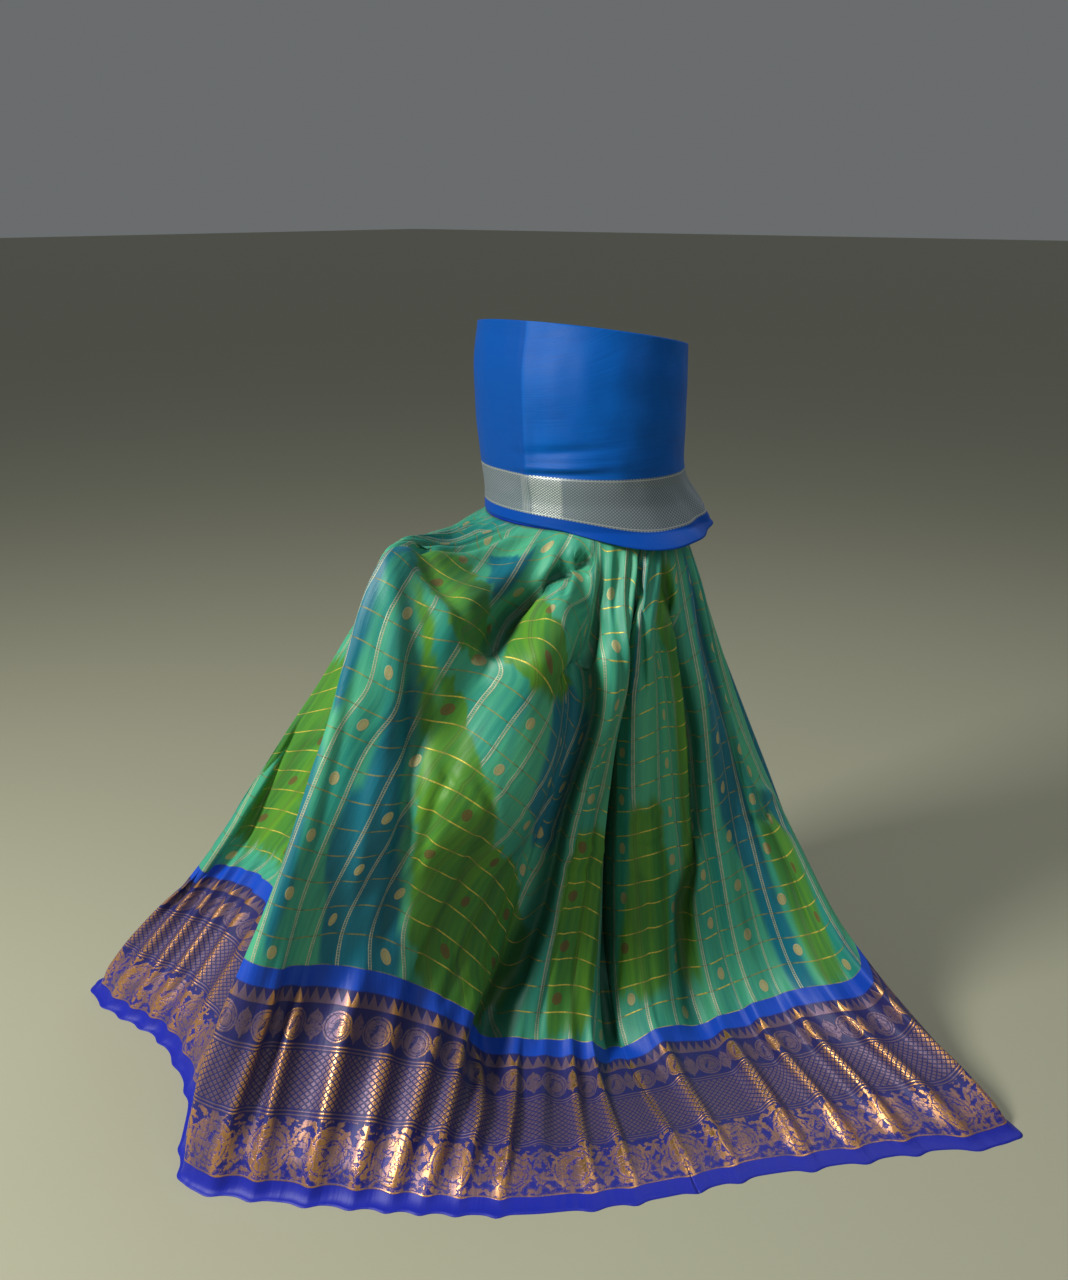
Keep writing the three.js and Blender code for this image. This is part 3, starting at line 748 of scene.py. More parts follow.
    def shades(self, facets: Sequence[Facet], seed: int) -> np.ndarray:
        """Work out how strongly a patch colour shows at each point of the grid: a painted sheen,
        the deep teal, a painted shade.

        Args:
            facets: The patches of the colour.
            seed: Which unevenness their ends have.

        Returns:
            A strength from 0 to 1 at each point.
        """
        place = np.mod(self.along + self.wrap, self.around)[:, None] - self.wrap + 0 * self.part
        ripple = soft_noise(place / 7, self.part * 6 + 0 * place, seed)
        part = self.part + self.facet_ripple * ripple
        left = np.ones_like(place)
        for facet in facets:
            left *= 1 - facet.cover(place, part, self.facet_soft, self.facet_fade)
        return 1 - left


def grid_mesh(
    name: str,
    points: np.ndarray,
    marks: np.ndarray,
    layers: Optional[dict[str, np.ndarray]] = None,
    closed: bool = False,
) -> bpy.types.Object:
    """Make a cloth piece from a flat grid that is moved onto its form.

    Args:
        name: The piece's name.
        points: The form's points in millimetres, by column and row.
        marks: The place in the flat cloth of each point, in millimetres.
        layers: Numbers kept at each point for the material.
        closed: Whether the last column joins the first.

    Returns:
        The new object, in metres.
    """
    columns, rows = points.shape[0] - 1, points.shape[1] - 1
    shape = bmesh.new()
    bmesh.ops.create_grid(shape, x_segments=columns, y_segments=rows, size=0.5)
    shape.verts.ensure_lookup_table()
    flat = np.array([vert.co[:2] for vert in shape.verts])
    i = np.rint((flat[:, 0] + 0.5) * columns).astype(int)
    j = np.rint((flat[:, 1] + 0.5) * rows).astype(int)
    places = points[i, j] / 1000
    cut = marks[i, j] / 1000
    kept = {
        key: (shape.verts.layers.float.new(key), values[i, j])
        for key, values in (layers or {}).items()
    }
    for k, vert in enumerate(shape.verts):
        vert.co = Vector(places[k])
        for layer, values in kept.values():
            vert[layer] = float(values[k])
    uv = shape.loops.layers.uv.new("cloth")
    for face in shape.faces:
        face.smooth = True
        for loop in face.loops:
            loop[uv].uv = cut[loop.vert.index]
    bmesh.ops.reverse_faces(shape, faces=shape.faces[:])
    if closed:
        bmesh.ops.remove_doubles(shape, verts=shape.verts[:], dist=1e-6)
    mesh = bpy.data.meshes.new(name)
    shape.to_mesh(mesh)
    shape.free()
    piece = bpy.data.objects.new(name, mesh)
    bpy.context.scene.collection.objects.link(piece)
    return piece


def thicken(piece: bpy.types.Object, thickness: float) -> None:
    """Give a cloth piece its thickness, inwards from its outer face."""
    wall = piece.modifiers.new("thickness", "SOLIDIFY")
    wall.thickness = thickness
    wall.offset = -1


def dyed(red: int, green: int, blue: int) -> tuple[float, float, float, float]:
    """Turn a colour from 0 to 255 as seen into the one that the shader takes."""
    seen = [value / 255 for value in (red, green, blue)]
    linear = [v / 12.92 if v <= 0.04045 else ((v + 0.055) / 1.055) ** 2.4 for v in seen]
    return (linear[0], linear[1], linear[2], 1.0)


Number = Union["Reading", float]


class Reading:
    """A number that a material works out at each point of a surface."""

    def __init__(self, loom: "Loom", socket: bpy.types.NodeSocket) -> None:
        """Keep the material's loom and the socket that gives the number."""
        self.loom = loom
        self.socket = socket

    def __add__(self, other: Number) -> "Reading":
        """Add a number."""
        return self.loom.sum("ADD", self, other)

    def __sub__(self, other: Number) -> "Reading":
        """Take a number away."""
        return self.loom.sum("SUBTRACT", self, other)

    def __rsub__(self, other: Number) -> "Reading":
        """Take this from a number."""
        return self.loom.sum("SUBTRACT", other, self)

    def __mul__(self, other: Number) -> "Reading":
        """Multiply by a number."""
        return self.loom.sum("MULTIPLY", self, other)

    def __truediv__(self, other: Number) -> "Reading":
        """Divide by a number."""
        return self.loom.sum("DIVIDE", self, other)

    __radd__ = __add__
    __rmul__ = __mul__

    def away(self) -> "Reading":
        """Drop the sign."""
        return self.loom.sum("ABSOLUTE", self)

    def floor(self) -> "Reading":
        """Round down."""
        return self.loom.sum("FLOOR", self)

    def most(self, other: Number) -> "Reading":
        """Take the larger of two."""
        return self.loom.sum("MAXIMUM", self, other)

    def repeat(self, period: float) -> "Reading":
        """Repeat the range from 0 to a period."""
        return self.loom.sum("WRAP", self, period, 0.0)

    def centred(self, period: float, middle: float = 0.0) -> "Reading":
        """Repeat the range from minus to plus half a period about a middle."""
        return (self - middle + period / 2).repeat(period) - period / 2

    def rise(self, low: float, high: float) -> "Reading":
        """Rise smoothly from 0 at low to 1 at high, or fall where low is the larger."""
        return self.loom.rise(self, low, high)

    def band(self, low: float, high: float, soft: float = 0.6) -> "Reading":
        """Mark the range from low to high with soft edges."""
        return self.rise(low - soft, low + soft) * self.rise(high + soft, high - soft)

    def line(self, half_width: float, soft: float = 0.5) -> "Reading":
        """Mark a line about zero."""
        return self.away().rise(half_width + soft, half_width - soft)


class Loom:
    """Makes the shader nodes of one material, which reads the cloth's own flat places."""

    def __init__(self, name: str) -> None:
        """Start a material with one shader.

        Args:
            name: The material's name.
        """
        self.material = bpy.data.materials.new(name)
        self.material.use_nodes = True
        self.tree = self.material.node_tree
        self.tree.nodes.clear()
        output = self.tree.nodes.new("ShaderNodeOutputMaterial")
        self.shader = self.tree.nodes.new("ShaderNodeBsdfPrincipled")
        self.tree.links.new(self.shader.outputs["BSDF"], output.inputs["Surface"])

    def put(
        self,
        socket: bpy.types.NodeSocket,
        value: Union[Number, bpy.types.NodeSocket, tuple],
    ) -> None:
        """Link or set one input."""
        if isinstance(value, Reading):
            self.tree.links.new(value.socket, socket)
        elif isinstance(value, bpy.types.NodeSocket):
            self.tree.links.new(value, socket)
        else:
            socket.default_value = value

    def sum(self, operation: str, *values: Number) -> Reading:
        """Make one arithmetic node.

        Args:
            operation: The node's operation.
            values: Its inputs, in order.

        Returns:
            The result.
        """
        node = self.tree.nodes.new("ShaderNodeMath")
        node.operation = operation
        for socket, value in zip(node.inputs, values):
            self.put(socket, value)
        return Reading(self, node.outputs[0])

    def rise(self, value: Reading, low: float, high: float) -> Reading:
        """Make a smooth rise from 0 at low to 1 at high."""
        node = self.tree.nodes.new("ShaderNodeMapRange")
        node.interpolation_type = "SMOOTHSTEP"
        self.put(node.inputs["Value"], value)
        start, end = (0.0, 1.0) if low < high else (1.0, 0.0)
        node.inputs["From Min"].default_value = min(low, high)
        node.inputs["From Max"].default_value = max(low, high)
        node.inputs["To Min"].default_value = start
        node.inputs["To Max"].default_value = end
        return Reading(self, node.outputs["Result"])

    def flat(self) -> tuple[Reading, Reading]:
        """Read the place in the flat cloth, across and up from the hem, in millimetres."""
        coordinates = self.tree.nodes.new("ShaderNodeUVMap")
        coordinates.uv_map = "cloth"
        parts = self.tree.nodes.new("ShaderNodeSeparateXYZ")
        self.put(parts.inputs[0], coordinates.outputs[0])
        return Reading(self, parts.outputs[0]) * 1000.0, Reading(self, parts.outputs[1]) * 1000.0

    def kept(self, name: str) -> Reading:
        """Read a number kept at the piece's points."""
        node = self.tree.nodes.new("ShaderNodeAttribute")
        node.attribute_name = name
        return Reading(self, node.outputs["Fac"])

    def noise(self, x: Reading, y: Reading, detail: float = 2.0, seed: float = 0.0) -> Reading:
        """Make a noise from 0 to 1 that reads two numbers."""
        joined = self.tree.nodes.new("ShaderNodeCombineXYZ")
        self.put(joined.inputs[0], x)
        self.put(joined.inputs[1], y)
        joined.inputs[2].default_value = seed
        node = self.tree.nodes.new("ShaderNodeTexNoise")
        node.inputs["Scale"].default_value = 1.0
        node.inputs["Detail"].default_value = detail
        self.put(node.inputs["Vector"], joined.outputs[0])
        return Reading(self, node.outputs["Fac"])

    def blend(
        self,
        factor: Number,
        first: Union[tuple, bpy.types.NodeSocket],
        second: Union[tuple, bpy.types.NodeSocket],
    ) -> bpy.types.NodeSocket:
        """Blend two colours by a number from 0 to 1."""
        node = self.tree.nodes.new("ShaderNodeMix")
        node.data_type = "RGBA"
        self.put(node.inputs[0], factor)
        self.put(node.inputs[6], first)
        self.put(node.inputs[7], second)
        return node.outputs[2]

    def emboss(self, height: Reading, distance: float, strength: float = 1.0) -> None:
        """Let a height tilt the surface a little."""
        node = self.tree.nodes.new("ShaderNodeBump")
        node.inputs["Distance"].default_value = distance
        node.inputs["Strength"].default_value = strength
        self.put(node.inputs["Height"], height)
        self.tree.links.new(node.outputs[0], self.shader.inputs["Normal"])


def oval_distance(x: Reading, y: Reading, half_width: float, half_height: float) -> Reading:
    """Give the distance from the middle of an oval, 1 at its edge."""
    a = x / half_width
    b = y / half_height
    return x.loom.sum("SQRT", a * a + b * b)


def leaf(
    x: Reading,
    y: Reading,
    place: tuple[float, float],
    turn: float,
    size: tuple[float, float],
) -> Reading:
    """Mark a slim leaf.

    Args:
        x: The place across.
        y: The place up.
        place: The leaf's middle.
        turn: Its lean from upright, in degrees.
        size: Its half length and half width.

    Returns:
        A mark from 0 to 1.
    """
    c, s = math.cos(math.radians(turn)), math.sin(math.radians(turn))
    a, b = x - place[0], y - place[1]
    run = a * s + b * c
    side = (a * c - b * s).away()
    bow = run / size[0]
    return (side - (1.0 - bow * bow) * size[1]).rise(0.6, -0.6)


@dataclass(frozen=True)
class BorderPlan:
    """The border's rows by their heights above the hem, and their repeats, in millimetres."""

    big_row: tuple[float, float] = (25.0, 100.0)
    big_middle: float = 62.0
    big_repeat: float = 76.0
    big_size: tuple[float, float] = (27.0, 31.0)
    scallop: float = 19.0
    diaper: tuple[float, float] = (110.0, 178.0)
    diamond: float = 8.0
    lines: tuple[float, ...] = (26.0, 102.5, 107.0, 181.0, 185.5)
    line_half: float = 0.9
    small_row: tuple[float, float] = (188.0, 234.0)
    small_middle: float = 210.0
    small_repeat: float = 52.0
    small_size: tuple[float, float] = (17.0, 20.0)
    spike_row: tuple[float, float] = (236.0, 256.0)
    spike_tip: float = 255.0
    spike_repeat: float = 12.0
    spike_slope: float = 2.6


@dataclass(frozen=True)
class CheckSilk:
    """The skirt's silk: a space-dyed shot silk check with buttas above a deep zari border, with
    painted sheen, glints and shade.
    """

    plan: BorderPlan = BorderPlan()
    lit_stretch: tuple[float, float, float] = (900.0, 1345.0, 40.0)
    aqua: tuple = dyed(78, 178, 134)
    mid: tuple = dyed(30, 140, 126)
    teal: tuple = dyed(6, 112, 132)
    green: tuple = dyed(96, 156, 38)
    shade_green: tuple = dyed(46, 124, 56)
    shadow: tuple = dyed(6, 48, 34)
    yellow: tuple = dyed(240, 218, 90)
    brown: tuple = dyed(86, 92, 52)
    silver: tuple = dyed(206, 204, 170)
    butta: tuple = dyed(196, 184, 128)
    dull_butta: tuple = dyed(112, 92, 50)
    royal: tuple = dyed(4, 70, 190)
    selvedge: tuple = dyed(20, 34, 166)
    violet: tuple = dyed(36, 36, 100)
    # Painted glint colour of the zari; the darker copper below is its colour between glints.
    glint_copper: tuple = dyed(226, 166, 104)
    dark_copper: tuple = dyed(110, 90, 112)

    def check(self, loom: Loom, u: Reading, v: Reading) -> tuple[bpy.types.NodeSocket, Reading]:
        """Draw the check above the border.

        Args:
            loom: The material's loom.
            u: The place across the cloth.
            v: The place up from the hem.

        Returns:
            The colour, and where metal thread shows.
        """
        green, deep = loom.kept("green"), loom.kept("deep")
        streak = loom.noise(u / 7.0, v / 160.0, 3.0, 1.0)
        broad = loom.noise(u / 30.0, v / 300.0, 2.0, 7.0)
        stripe = (u / CHECK).floor()
        kind = loom.noise(stripe * 3.7, v / 420.0, 1.0, 4.0)
        slope = (u / CHECK).repeat(1.0) - 0.5
        pale = (kind - 0.5) * 1.5 + slope * (kind - 0.5) * 3.0 + (streak - 0.5) * 0.7
        blue = loom.blend((pale + 0.55).rise(0.1, 0.9), self.mid, self.aqua)
        depth = deep + (broad - 0.5) * 0.5 + (streak - 0.5) * 0.45 - (1.0 - deep) * 0.1
        blue = loom.blend(depth.rise(0.1, 0.9), blue, self.teal)
        leafiness = (streak * 0.5 + broad * 0.6).rise(0.3, 0.8)
        leafy = loom.blend(leafiness, self.shade_green, self.green)
        # Painted sheen: the check is painted green where the shot silk's facets would catch the
        # light.
        painted_sheen = (green + (streak - 0.5) * 0.3).rise(0.15, 0.85)
        cloth = loom.blend(painted_sheen, blue, leafy)
        across = u.centred(CHECK)
        up = v.centred(RISE, BORDER)
        pair = (across.away() - 1.8).line(0.5, 0.5)
        ladder = across.line(1.6, 0.4) * v.centred(3.2).line(0.7, 0.4) * 0.5
        warp = pair.most(ladder)
        dash = u.centred(CHECK, CHECK / 2).away().rise(17.0, 9.0)
        weft = up.line(0.85, 0.5)
        # Painted glints: the warp lines are painted silver where the sheen is blue, and the weft
        # dashes yellow where it is green and over the lit stretch, broken up by noise.
        lit = 0.25 + u.band(*self.lit_stretch) * 0.7
        glint_breakup = loom.noise(u / 3.0, v / 9.0, 2.0, 3.0).rise(0.3, 0.6)
        warp_shine = (1.0 - painted_sheen) * (0.55 + glint_breakup * 0.45)
        weft_shine = (painted_sheen * (0.35 + dash * 0.65)).most(dash * lit) * (0.6 + glint_breakup * 0.4)
        cloth = loom.blend(weft * 0.7, cloth, self.brown)
        cloth = loom.blend(warp * 0.6, cloth, self.brown)
        cloth = loom.blend(warp * warp_shine, cloth, self.silver)
        cloth = loom.blend(weft * weft_shine, cloth, self.yellow)
        marks = self.buttas(loom, u, v)
        # The buttas are painted bright where the painted sheen is blue and dull where it is green.
        gold = loom.blend(painted_sheen, self.butta, self.dull_butta)
        cloth = loom.blend(marks * 0.92, cloth, gold)
        metal = (warp * warp_shine).most(weft * weft_shine).most(marks * (1.0 - painted_sheen * 0.6))
        return cloth, metal

    def buttas(self, loom: Loom, u: Reading, v: Reading) -> Reading:
        """Mark the small oval flowers, in every second cell of every second stripe."""
        stripe = (u / (CHECK * 2)).floor()
        shift = loom.sum("WRAP", stripe, 2.0, 0.0) * RISE
        x = u.centred(CHECK * 2, CHECK / 2)
        y = (v + shift).centred(RISE * 2, BORDER + RISE / 2)
        far = oval_distance(x, y, 6.2, 8.6)
        body = far.rise(1.08, 0.9)
        ring = (far - 0.62).line(0.05, 0.07)
        return body - ring * 0.35

    def border(self, loom: Loom, u: Reading, v: Reading) -> Reading:
        """Draw where the border's zari shows, from the selvedge up to the blue band."""
        swirl = loom.noise(u / 9.0, v / 9.0, 2.0, 5.0)
        vein = (swirl - 0.5).line(0.022, 0.02)
        foliage = (swirl - 0.02 * (v / 40.0)).rise(0.40, 0.50)
        plan = self.plan
        big = self.roundels(u, v - plan.big_middle, plan.big_repeat, plan.big_size)
        row = (big.most(foliage * 0.85) - vein * 0.8).most(0.0) * v.band(*plan.big_row)
        half = plan.scallop / 2
        scallop = v - 24.0 - oval_distance(u.centred(plan.scallop), u * 0.0, half, half) * 4.0
        row = row * scallop.rise(-1.0, 1.0)
        diamonds = self.diamonds(u, v) * v.band(*plan.diaper)
        lines = (v - plan.lines[0]).line(plan.line_half)
        for height in plan.lines[1:]:
            lines = lines.most((v - height).line(plan.line_half))
        small = self.roundels(u + 20.0, v - plan.small_middle, plan.small_repeat, plan.small_size)
        middle = u.centred(plan.small_repeat, 6.0)
        sprig = leaf(middle, v - plan.small_middle, (0.0, 0.0), 0.0, (20.0, 5.0))
        upper = (small.most(sprig) - vein * 0.6).most(0.0) * v.band(*plan.small_row)
        tooth = u.centred(plan.spike_repeat).away() * plan.spike_slope
        spikes = (v + tooth - plan.spike_tip).rise(0.8, -0.8) * v.band(*plan.spike_row)
        return row.most(diamonds).most(lines).most(upper).most(spikes)

    @staticmethod
    def roundels(u: Reading, y: Reading, period: float, size: tuple[float, float]) -> Reading:
        """Draw a row of roundels with a curled leaf in each and a leaf pair between them."""
        x = u.centred(period)
        far = oval_distance(x, y, size[0], size[1])
        disc = far.rise(1.03, 0.97)
        ring = (far - 0.84).line(0.03, 0.03)
        curl = oval_distance(
            x - size[0] * 0.14, y + size[1] * 0.1, size[0] * 0.5, size[1] * 0.56)
        curl = (curl - 1.0).line(0.07, 0.06) * x.rise(-size[0] * 0.5, -size[0] * 0.1)
        heart = leaf(x, y, (-size[0] * 0.15, 0.0), 24.0, (size[1] * 0.5, size[0] * 0.13))
        inside = (disc - ring * 0.9 - curl * 0.8 - heart * 0.8).most(0.0)
        side = u.centred(period, period / 2)
        pair = leaf(side.away(), y, (5.0, -size[1] * 0.35), 28.0, (size[1] * 0.5, 3.6))
        pair = pair.most(leaf(side.away(), y, (4.0, size[1] * 0.45), -24.0, (size[1] * 0.45, 3.2)))
        return inside.most(pair)

    def diamonds(self, u: Reading, v: Reading) -> Reading:
        """Draw the diaper of small diamonds."""
        first = (u + v).centred(self.plan.diamond).away().rise(3.5, 2.4)
        second = (u - v).centred(self.plan.diamond).away().rise(3.5, 2.4)
        return first * second

    def material(self) -> bpy.types.Material:
        """Make the material."""
        loom = Loom("check_silk")
        u, v = loom.flat()
        cloth, metal = self.check(loom, u, v)
        zari = self.border(loom, u, v)
        streak = loom.noise(u / 2.2, v / 60.0, 2.0, 11.0)
        # Painted glint: the zari is painted from dark copper to bright copper along the flute
        # ridges, in noisy patches and over the lower band.
        glinting = loom.noise(u / 26.0, v / 70.0, 2.0, 15.0) - 0.42
        gleam = loom.kept("ridge") * 1.1 + (streak - 0.5) * 0.5 + glinting * 0.8
        gleam = (gleam + v.rise(104.0, 96.0) * 0.3).rise(0.12, 0.9)
        gold = loom.blend(gleam, self.dark_copper, self.glint_copper)
        ground = loom.blend(v.rise(120.0, 60.0) * 0.5, self.violet, self.selvedge)
        ground = loom.blend(v.rise(27.0, 23.0), ground, self.selvedge)
        ground = loom.blend(v.rise(254.0, 257.0), ground, self.royal)
        border = loom.blend(zari, ground, gold)
        above = v.rise(BORDER - 0.8, BORDER + 0.8)
        # Painted shade: the check is darkened towards the shadow colour in the main folds, and in
        # random dim streaks.
        dim = loom.noise(u / 17.0, v / 170.0, 2.0, 13.0).rise(0.50, 0.80) * 0.28
        cloth = loom.blend(dim.most(loom.kept("painted_fold_shade") * 0.85), cloth, self.shadow)
        loom.put(loom.shader.inputs["Base Color"], loom.blend(above, border, cloth))
        shine = zari * (1.0 - above) * (0.5 + gleam * 0.4) + metal * above * 0.4
        loom.put(loom.shader.inputs["Metallic"], shine)
        rough = 0.46 - zari * (1.0 - above) * gleam * 0.16 + (streak - 0.5) * 0.16
        loom.put(loom.shader.inputs["Roughness"], rough)
        loom.shader.inputs["Sheen Weight"].default_value = 0.06
        loom.shader.inputs["Sheen Roughness"].default_value = 0.4
        loom.shader.inputs["Specular IOR Level"].default_value = 0.4
        ribs = loom.sum("SINE", v * 5.2) * 0.4 + loom.sum("SINE", u * 6.1) * 0.3
        raised = zari * (1.0 - above) + metal * above
        crumple = loom.noise(u / 15.0, v / 240.0, 2.0, 9.0) * 5.0
        loom.emboss(ribs * 0.25 + raised * 0.8 + streak * 0.6 + crumple, 0.00035, 0.8)
        return loom.material


@dataclass(frozen=True)
class PlainSilk:
    """A plain silk with fine ribs, for the bodice cloth and the band."""

    name: str
    colour: tuple
    deep: tuple
    band_low: float = 0.0
    band_high: float = 0.0
    glint_from: float = 0.0
    glint_to: float = 0.0
    painted_shade_until: float = 0.0
    band_grey: tuple = dyed(92, 110, 124)
    band_white: tuple = dyed(226, 228, 220)
    edge: tuple = dyed(0, 72, 168)

    def material(self) -> bpy.types.Material:
        """Make the material."""
        loom = Loom(self.name)
        u, v = loom.flat()
        streak = loom.noise(u / 60.0, v / 2.4, 2.0, 2.0)
        broad = loom.noise(u / 70.0, v / 70.0, 2.0, 4.0)
        tone = (streak * 0.4 + broad * 0.4 + 0.2).rise(0.2, 0.8)
        # Painted shade: the cloth before the front crease is darkened, for the facet turned from
        # the light.
        if self.painted_shade_until:
            tone = tone * (0.25 + u.rise(self.painted_shade_until - 1.5, self.painted_shade_until + 1.5) * 0.75)
        cloth = loom.blend(tone, self.deep, self.colour)
        metal: Number = 0.0
        relief = streak
        if self.band_high > self.band_low:
            cloth = loom.blend(v.rise(self.band_low + 0.6, self.band_low - 0.6), cloth, self.edge)
            inside = v.band(self.band_low, self.band_high)
            middle = (self.band_low + self.band_high) / 2
            first, second = (u + v - middle).centred(4.6), (u - v + middle).centred(4.6)
            rhomb = first.away().rise(2.0, 1.2) * second.away().rise(2.0, 1.2)
            rim = (v - self.band_low - 2.5).line(0.7).most((v - self.band_high + 2.5).line(0.7))
            # Painted highlight: the band's diamonds are painted brighter over one stretch, and the
            # ribbed white stripe just before it is a painted glint along a crease.
            glinting = u.band(self.glint_from, self.glint_to, 3.0)
            plain = u.band(self.glint_from - 14.0, self.glint_from - 3.0, 1.0)
            ribbed = loom.sum("SINE", u * 2.6) * 0.2 + 0.3
            white = rhomb * (0.34 + glinting * 0.66) * (1.0 - plain) + plain * ribbed
            white = white.most(rim * 0.6) * inside
            cloth = loom.blend(inside, cloth, self.band_grey)
            cloth = loom.blend(white, cloth, self.band_white)
            metal = inside * 0.25 + white * 0.3
            relief = relief + white
        loom.put(loom.shader.inputs["Base Color"], cloth)
        if isinstance(metal, Reading):
            loom.put(loom.shader.inputs["Metallic"], metal)
        loom.put(loom.shader.inputs["Roughness"], 0.42 + (streak - 0.5) * 0.16)
        loom.shader.inputs["Sheen Weight"].default_value = 0.02
        loom.shader.inputs["Specular IOR Level"].default_value = 0.16
        loom.shader.inputs["Sheen Roughness"].default_value = 0.4
        ribs = loom.sum("SINE", v * 4.8) * 0.25
        loom.emboss(relief * 0.6 + ribs, 0.0003, 0.7)
        return loom.material


@dataclass
class Skirt:
    """The gathered skirt: three stretches of one length of check silk."""

    form: SkirtForm = field(default_factory=SkirtForm)
    silk: CheckSilk = field(default_factory=CheckSilk)
    thickness: float = 0.0008
    length: float = 1.05

    def build(self) -> list[bpy.types.Object]:
        """Make and dress the three stretches.

        Returns:
            The pieces.
        """
        form = self.form
        form.build()
        # The kept numbers hold the painted green sheen, the deep teal, the painted fold shade and
        # the painted ridge glints.
        kept = {"green": form.shades(PAINTED_SHEEN_GREENS, 21), "deep": form.shades(DEEPS, 22),
                "painted_fold_shade": form.shades(PAINTED_FOLD_SHADES, 23), "ridge": form.ridge_glints()}
        starts = np.cumsum((0,) + form.columns)
        material = self.silk.material()
        pieces = []
        for k, side in enumerate(Side):
            pick = np.arange(starts[k], starts[k + 1] + 1) % starts[-1]
            thread = form.thread[pick]
            if side is Side.BACK:
                thread = thread.copy()
                thread[-1] += form.around
            marks = np.stack([thread, form.from_hem[pick]], -1)
            layers = {key: values[pick] for key, values in kept.items()}
            name, node = side.value
            piece = grid_mesh(name, form.grid[pick], marks, layers)
            thicken(piece, self.thickness)
            piece.data.materials.append(material)
            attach(piece, "root")
            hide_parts(node)
            # The front left and the back hold less cloth than their cut; their panel area is
            # worked out here but not used.
            area = None if side is Side.FRONT_RIGHT else form.panel_area(pick)
            pieces.append(piece)
        return pieces


@dataclass(frozen=True)
class BodiceRow:
    """The bodice's half sizes and its shift forward at a height."""

    height: float
    half_width: float
    half_depth: float
    forward: float


@dataclass
class Bodice:
    """The cloth wrapped round the trunk, with a silver band and a plain edge woven in."""

    top: float = 256.0
    band_bottom: float = BAND_BOTTOM
    drop: float = 24.0
    over_band: float = 4.0
    flare: float = 38.0
    flare_top: float = 90.0
    first_turn: float = 150.0
    ripples: tuple[tuple[float, float, float, float], ...] = (
        (74, 3.4, 5, 0.20), (95, -3.2, 7, 0.28), (66, -2.6, 4, 0.1))
    mark_radius: float = 132.0
    lift: float = 22.0
    back_dip: float = 46.0
    on_band: float = 2.5
    band_top: float = 62.0
    band_top_mark: float = 90.0
    columns: int = 288
    rows: int = 120
    thickness: float = 0.0012
    waist: tuple[float, float] = (WAIST_HALF_WIDTH, WAIST_HALF_DEPTH)
    silk: PlainSilk = field(default_factory=lambda: PlainSilk(
        "bodice_silk", dyed(0, 94, 186), dyed(0, 70, 152), 20.0, 90.0, 838.0, 880.0, 834.0))

    def sizes(self) -> tuple[BodiceRow, ...]:
        """List the rows from the top down."""
        width, depth = self.waist[0] + self.on_band, self.waist[1] + self.on_band
        return (
            BodiceRow(self.top, 149, 115, 4),
            BodiceRow(196, 153, 121, 9),
            BodiceRow(120, 151, 120, 7),
            BodiceRow(60, 147, 119, 3),
            BodiceRow(BAND_TOP, width, depth, 0),
            BodiceRow(self.band_bottom, width, depth, 0),
        )

    @staticmethod
    def apart(turn: np.ndarray, other: float) -> np.ndarray:
        """Give the difference between two turns, from -180 to 180 degrees."""
        return np.mod(turn - other + 180, 360) - 180

    def points(self) -> tuple[np.ndarray, np.ndarray]:
        """Place the bodice's outer face.

        Returns:
            The points by column and row, and their places in the flat cloth.
        """
        turn = np.linspace(0, 360, self.columns + 1)[:, None] + self.first_turn
        part = np.linspace(0, 1, self.rows + 1)[None, :]
        bottom = self.band_bottom + self.over_band - self.drop * bump(self.apart(turn, 76), 40)
        rim = self.top - self.back_dip * (0.5 - 0.5 * np.cos(np.radians(turn)))
        z = rim + (bottom - rim) * part
        rows = self.sizes()
        heights = np.array([-row.height for row in rows])
        below = -np.maximum(z, self.band_bottom)

        def size(name: str) -> np.ndarray:
            """Read one size at each height."""
            values = np.array([getattr(row, name) for row in rows], float)
            read = through(heights, values, below.ravel()).reshape(below.shape)
            return np.maximum(read, values[-1])

        flare = self.flare * bump(self.apart(turn, 122), 44)
        rise = np.clip((self.flare_top - z) / (self.flare_top - bottom), 0, 1)
        flare = flare * (rise * rise * (3 - 2 * rise)) ** 2
        lift = self.lift * np.maximum((self.band_bottom - z) / self.drop, 0)
        grow = flare + lift + self.creases(turn, z, part)
        angle = np.radians(turn)
        points = np.stack([
            (size("half_width") + grow) * np.sin(angle),
            -(size("half_depth") + grow) * np.cos(angle) - size("forward"),
            z + 0 * angle,
        ], -1)
        around = np.radians(turn) * self.mark_radius + 0 * z
        up = (z - bottom) * self.band_top_mark / (self.band_top - bottom)
        return points, np.stack([around, up], -1)

    def creases(self, turn: np.ndarray, z: np.ndarray, part: np.ndarray) -> np.ndarray:
        """Say how far the front's ridge and the soft ripples stand out."""
        clear = smooth(27, 52, z)
        ridge = 2.6 * bump(self.apart(turn, 2.3), 4.0) * (0.6 + 0.4 * np.sin(part * 3))
        facet = -2.4 * bump(self.apart(turn, -14), 11) * smooth(0, 0.3, part)
        rise = ridge + facet
        for at, height, width, lean in self.ripples:
            line = z - at - lean * self.apart(turn, 20)
            rise = rise + height * bump(line, width) * bump(self.apart(turn, 24), 22)
        rise = rise + 0.7 * soft_noise(np.mod(turn, 360) / 9, z / 40 + 9, 31)
        rise = rise + 0.8 * bump(self.apart(turn, 80), 30) * np.sin(z / 9 + turn / 18)
        crumple = 2.6 * bump(self.apart(turn, 116), 24) * smooth(70, 20, z)
        return rise * clear + crumple * np.sin(turn / 3.4 + z / 16)

    def build(self) -> bpy.types.Object:
        """Make and dress the bodice cloth.

        Returns:
            The piece.
        """
        points, marks = self.points()
        piece = grid_mesh("bodice_wrap", points, marks, closed=True)
        thicken(piece, self.thickness)
        piece.data.materials.append(self.silk.material())
        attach(piece, "root")
        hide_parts("bodice_cloth")
        log.info("bodice_wrap: %d columns", self.columns)
        return piece


